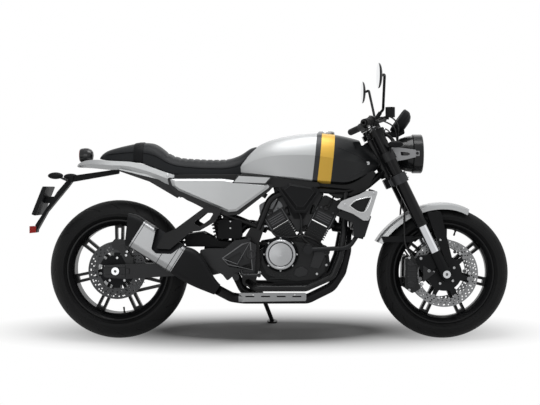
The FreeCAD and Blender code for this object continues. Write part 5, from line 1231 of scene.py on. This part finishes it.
class MOTO_OT_covers(bpy.types.Operator):
    """Covers along the rails, bright rings of the shrouds and small covers on the crankcase"""
    bl_idname = "moto.covers"
    bl_label = "Covers"

    def execute(self, context):
        bm = bmesh.new()
        add_prism(bm, [(-478, 745), (-478, 722), (-240, 700), (-60, 686), (70, 690), (176, 690), (166, 711),
                       (15, 728), (-150, 748), (-196, 745), (-240, 745), (-299, 745), (-366, 745)], 98, 124.5)
        add_mirror(bm)
        piece("rail_covers", bm, "rail cover", "chassis", bevel=1.5)
        corners = [(302, 606), (330, 630), (392, 645), (398, 636), (372, 582), (340, 580)]
        ring = smooth_rows(corners + corners[:1], 3)
        bm = bmesh.new()
        for side in (-1, 1):
            add_tube(bm, [(x, side * 172, z) for x, z in ring], 3.0, 8)
        piece("shroud_rings", bm, "shroud ring", "chassis")
        bm = bmesh.new()
        for side in (-1, 1):
            for x, z, radius in ((121, 417, 19), (198, 398, 23), (-134, 390, 22)):
                spot = sure_landing(["crankcase", "frame", "footrest_sets", "engine_covers"], x, z, side)
                add_lathe(bm, spot, (0, side, 0), [(0, -6), (radius, -6), (radius, 4), (radius * 0.9, 6),
                                                   (radius * 0.62, 6), (radius * 0.56, 4), (0, 4)], 32)
            for z in (268, 280, 292):
                add_pad(bm, ["crankcase"], box_outline(-52, z - 2, 44, z + 2), side, 3, 3)
        piece("small_covers", bm, "casting", "chassis", bevel=0.8)
        return {"FINISHED"}


class MOTO_OT_seam_lines(bpy.types.Operator):
    """Raised edges on the tank's nose and on the footrest plates"""
    bl_idname = "moto.seam_lines"
    bl_label = "Seam Lines"

    def execute(self, context):
        bm = bmesh.new()
        for side in (-1, 1):
            for line in ([(252, 866), (300, 850), (345, 830), (380, 808)],
                         [(384, 782), (366, 762), (326, 742), (286, 728)]):
                spots = [landing(["fuel_tank"], x, z, side) for x, z in smooth_rows(line, 6)]
                add_tube(bm, [spot for spot in spots if spot is not None], 1.3, 8)
        piece("tank_seams", bm, "seam", "chassis")
        bm = bmesh.new()
        for side in (-1, 1):
            ring = [sure_landing(["footrest_sets", "frame", "crankcase"], x, z, side)
                    for x, z in ((-262, 372), (-172, 436), (-138, 446), (-128, 322), (-236, 346))]
            outer = max(side * spot.y for spot in ring)
            ring = [Vector((spot.x, side * (outer + 1), spot.z)) for spot in ring]
            add_tube(bm, ring + ring[:1], 3.4, 8)
            add_tube(bm, [ring[0], (ring[0] + ring[3]) / 2, ring[2]], 2.4, 8)
        # The plate ribs are real raised edges; their lighter finish is a painted highlight
        piece("plate_ribs_painted_highlight", bm, "plate rib", "chassis")
        return {"FINISHED"}


class MOTO_OT_front_trim(bpy.types.Operator):
    """Lamp reflector, dial and the handlebar's cables"""
    bl_idname = "moto.front_trim"
    bl_label = "Front Trim"

    def execute(self, context):
        bm = bmesh.new()
        add_lathe(bm, (636, 0, 841), -X, [(79, 0), (74, 12), (60, 26), (40, 36), (18, 41), (0, 42)], 48)
        add_lathe(bm, (612, 0, 841), X, [(0, 0), (15, 0), (15, 10), (12, 14), (0, 16)], 24)
        piece("headlamp_reflector", bm, "reflector", "steering", smooth=60)
        dial, facing = Vector((558, 0, 980)), Vector((-0.82, 0, 0.57))
        bm = bmesh.new()
        add_lathe(bm, dial + facing * 0.6, facing, [(0, 0), (51, 0), (51, 1.2), (0, 1.2)], 48)
        piece("dial_glass", bm, "dial", "steering")
        first, step, marks, rim = 225, 9, 31, 46
        upward = facing.cross(Y)
        upward = upward if upward.z > 0 else -upward
        bm = bmesh.new()
        for k in range(marks):
            angle = math.radians(first - step * k)
            outward = Y * -math.cos(angle) + upward * math.sin(angle)
            long, wide = (8, 1.4) if k % 5 == 0 else (4, 0.8)
            turn = Matrix((outward, facing.cross(outward), facing)).transposed()
            add_box(bm, dial + facing * 2.0 + outward * (rim - long / 2), (long, wide, 0.5), turn)
        piece("dial_scale", bm, "mark", "steering", smooth=0)
        bm = bmesh.new()
        for start, middle, end in (
                ((404, -288, 960), [(440, -250, 978), (500, -150, 955), (520, -96, 900)], (540, -48, 840)),
                ((404, 288, 960), [(446, 250, 980), (506, 150, 958), (524, 96, 900)], (540, 48, 840)),
                ((420, -262, 972), [(470, -200, 1000), (520, -120, 970), (528, -60, 900)], (540, -24, 832))):
            add_hose(bm, (["hand_controls"], start), middle, (["headlamp"], end), 3.4, 8)
        piece("bar_cables", bm, "hose", "steering")
        return {"FINISHED"}


class MOTO_OT_rear_trim(bpy.types.Operator):
    """Axle adjusters, the blank plate and the rear caliper's screws"""
    bl_idname = "moto.rear_trim"
    bl_label = "Rear Trim"

    def execute(self, context):
        bm = bmesh.new()
        for side in (-1, 1):
            start = sure_landing(["swingarm"], -706, 315, side).y
            for bar in ((-786, 331, -694, 342), (-786, 288, -694, 299), (-704, 299, -694, 331)):
                add_prism(bm, box_outline(*bar), start, start + side * 5)
            add_pad(bm, ["swingarm"], [(-692, 300), (-692, 330), (-676, 326), (-676, 304)], side, 8, 2)
        piece("axle_adjusters", bm, "casting", "chassis", bevel=1.5)
        top, low = Vector((-1073.5, 0, 689)), Vector((-1121.5, 0, 567.5))
        down = (low - top).normalized()
        away = Y.cross(down)
        away = away if away.x < 0 else -away
        turn = Matrix((down, Y, away)).transposed()
        bm = bmesh.new()
        add_box(bm, (top + low) / 2 + away * 0.6, ((low - top).length - 6, 182, 1.6), turn)
        piece("blank_plate", bm, "plate", "chassis", bevel=0.5)
        bm = bmesh.new()
        add_screws(bm, ["rear_caliper"], [(-690, 400), (-694, 384)], -1, 6, 5)
        piece("rear_caliper_screws", bm, "screw", "chassis")
        return {"FINISHED"}


def floor_finish():
    """White floor that keeps the shadow near the motorcycle, deepened there by a painted shadow in its colour, and
    runs into the backdrop far from it.
    """
    long_share, behind_middle, painted_shadow_edge = 0.27, 0.09, 0.13
    made = finish("floor_paint_and_painted_shadow", (1.0, 1.0, 1.0), 0.95, grain=0.0, marks=0.0, Specular_IOR_Level=0.0)
    tree = made.node_tree
    shader, _, tone = parts_of(made)
    split = tree.nodes.new("ShaderNodeSeparateXYZ")
    link(tree, tree.nodes.new("ShaderNodeTexCoord").outputs["Object"], split.inputs[0])
    far = length_of(tree, math_node(tree, "MULTIPLY", split.outputs[0], long_share),
                    math_node(tree, "ADD", split.outputs[1], behind_middle))
    painted_shadow_fade = math_node(tree, "MULTIPLY", math_node(tree, "SUBTRACT", far, painted_shadow_edge), 4.0, clamp=True)
    # Painted shadow: the floor's colour falls from 0.94 to 0.40 near the motorcycle, on top of its real shadow
    link(tree, mixed(tree, painted_shadow_fade, 0.40, 0.94), tone.inputs["Scale"])
    ray = tree.nodes.new("ShaderNodeLightPath")
    seen = math_node(tree, "MAXIMUM", ray.outputs["Is Camera Ray"], ray.outputs["Is Glossy Ray"])
    mix = tree.nodes.new("ShaderNodeMixShader")
    link(tree, math_node(tree, "MULTIPLY", painted_shadow_fade, seen), mix.inputs[0])
    link(tree, shader.outputs[0], mix.inputs[1])
    link(tree, tree.nodes.new("ShaderNodeEmission").outputs[0], mix.inputs[2])
    link(tree, mix.outputs[0], tree.nodes["Material Output"].inputs["Surface"])
    return made


def studio_world():
    """White where the camera, glass or gloss sees it, and dim as a light."""
    dim = 0.09
    world = bpy.data.worlds.new("studio")
    world.use_nodes = True
    tree = world.node_tree
    back = tree.nodes["Background"]
    ray = tree.nodes.new("ShaderNodeLightPath")
    seen = math_node(tree, "MAXIMUM", ray.outputs["Is Camera Ray"], ray.outputs["Is Transmission Ray"])
    seen = math_node(tree, "MAXIMUM", seen, ray.outputs["Is Glossy Ray"])
    set_inputs(back, Color=(1, 1, 1, 1))
    link(tree, mixed(tree, seen, dim, 1.0), back.inputs["Strength"])
    return world


# Lamps of the studio: (name, place in metres, size in metres, watts), and the point that they face
LAMPS = (("key", (0.1, -0.25, 3.6), 1.9, 83), ("fill", (-1.8, -4.8, 2.2), 3.0, 44),
         ("rim", (0.4, 3.6, 3.2), 2.6, 20), ("nose", (4.2, -2.2, 2.0), 3.0, 12))
LAMP_AIM = Vector((0, 0.1, 0.55))

# The camera's place in millimetres of the upright machine, its lens, and its shift as a share of the width
CAMERA_PLACE, LENS, SHIFT = Vector((-50, -5000, 676)), 72.78, -12.5 / 540


class MOTO_OT_stage(bpy.types.Operator):
    """Add the floor, the studio lights, the backdrop and the camera"""
    bl_idname = "moto.stage"
    bl_label = "Stage"

    def execute(self, context):
        scene = context.scene
        far = 30
        mesh = bpy.data.meshes.new("floor")
        mesh.from_pydata([(-far, -far, 0), (far, -far, 0), (far, far, 0), (-far, far, 0)], [], [(0, 1, 2, 3)])
        mesh.materials.append(floor_finish())
        floor = placed("floor", mesh)
        for name, place, size, power in LAMPS:
            data = bpy.data.lights.new(name, "AREA")
            data.energy = power
            data.size = size
            lamp = placed(name, data)
            lamp.location = place
            lamp.rotation_euler = (LAMP_AIM - Vector(place)).to_track_quat("-Z", "Y").to_euler()
        scene.world = studio_world()
        scene.view_settings.view_transform = "Standard"
        data = bpy.data.cameras.new("camera")
        data.lens = LENS
        data.sensor_width = 36
        data.shift_y = SHIFT
        data.clip_end = 100
        camera = placed("camera", data)
        turn = UPRIGHT.to_3x3().normalized()
        place = Matrix((turn @ X, turn @ Z, turn @ -Y)).transposed().to_4x4()
        place.translation = UPRIGHT @ CAMERA_PLACE
        camera.matrix_world = place
        scene.camera = camera
        return {"FINISHED"}


STEPS = ("finishes", "tank_paint", "wheel_trim", "brake_trim", "fork_trim", "seat", "body_trim",
         "engine_trim", "engine_hoses", "intake", "covers", "seam_lines", "front_trim", "rear_trim", "stage")


class MOTO_PT_panel(bpy.types.Panel):
    """Lists the steps that build the motorcycle's looks"""
    bl_idname = "MOTO_PT_panel"
    bl_label = "Motorcycle"
    bl_space_type = "VIEW_3D"
    bl_region_type = "UI"
    bl_category = "Motorcycle"

    def draw(self, context):
        paint = context.scene.motorcycle_paint
        for label in ("silver", "charcoal", "yellow", "stripe"):
            self.layout.prop(paint, label)
        for step in STEPS:
            self.layout.operator("moto." + step)


CLASSES = (MotorcyclePaint, MOTO_OT_finishes, MOTO_OT_tank_paint, MOTO_OT_wheel_trim, MOTO_OT_brake_trim,
           MOTO_OT_fork_trim, MOTO_OT_seat, MOTO_OT_body_trim, MOTO_OT_engine_trim, MOTO_OT_engine_hoses,
           MOTO_OT_intake, MOTO_OT_covers, MOTO_OT_seam_lines, MOTO_OT_front_trim, MOTO_OT_rear_trim,
           MOTO_OT_stage, MOTO_PT_panel)


def register():
    for made in CLASSES:
        bpy.utils.register_class(made)
    bpy.types.Scene.motorcycle_paint = bpy.props.PointerProperty(type=MotorcyclePaint)


def unregister():
    del bpy.types.Scene.motorcycle_paint
    for made in reversed(CLASSES):
        bpy.utils.unregister_class(made)


def main():
    """Builds everything in order."""
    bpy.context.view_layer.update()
    register()
    for step in STEPS:
        getattr(bpy.ops.moto, step)()


if __name__ == "__main__":
    main()
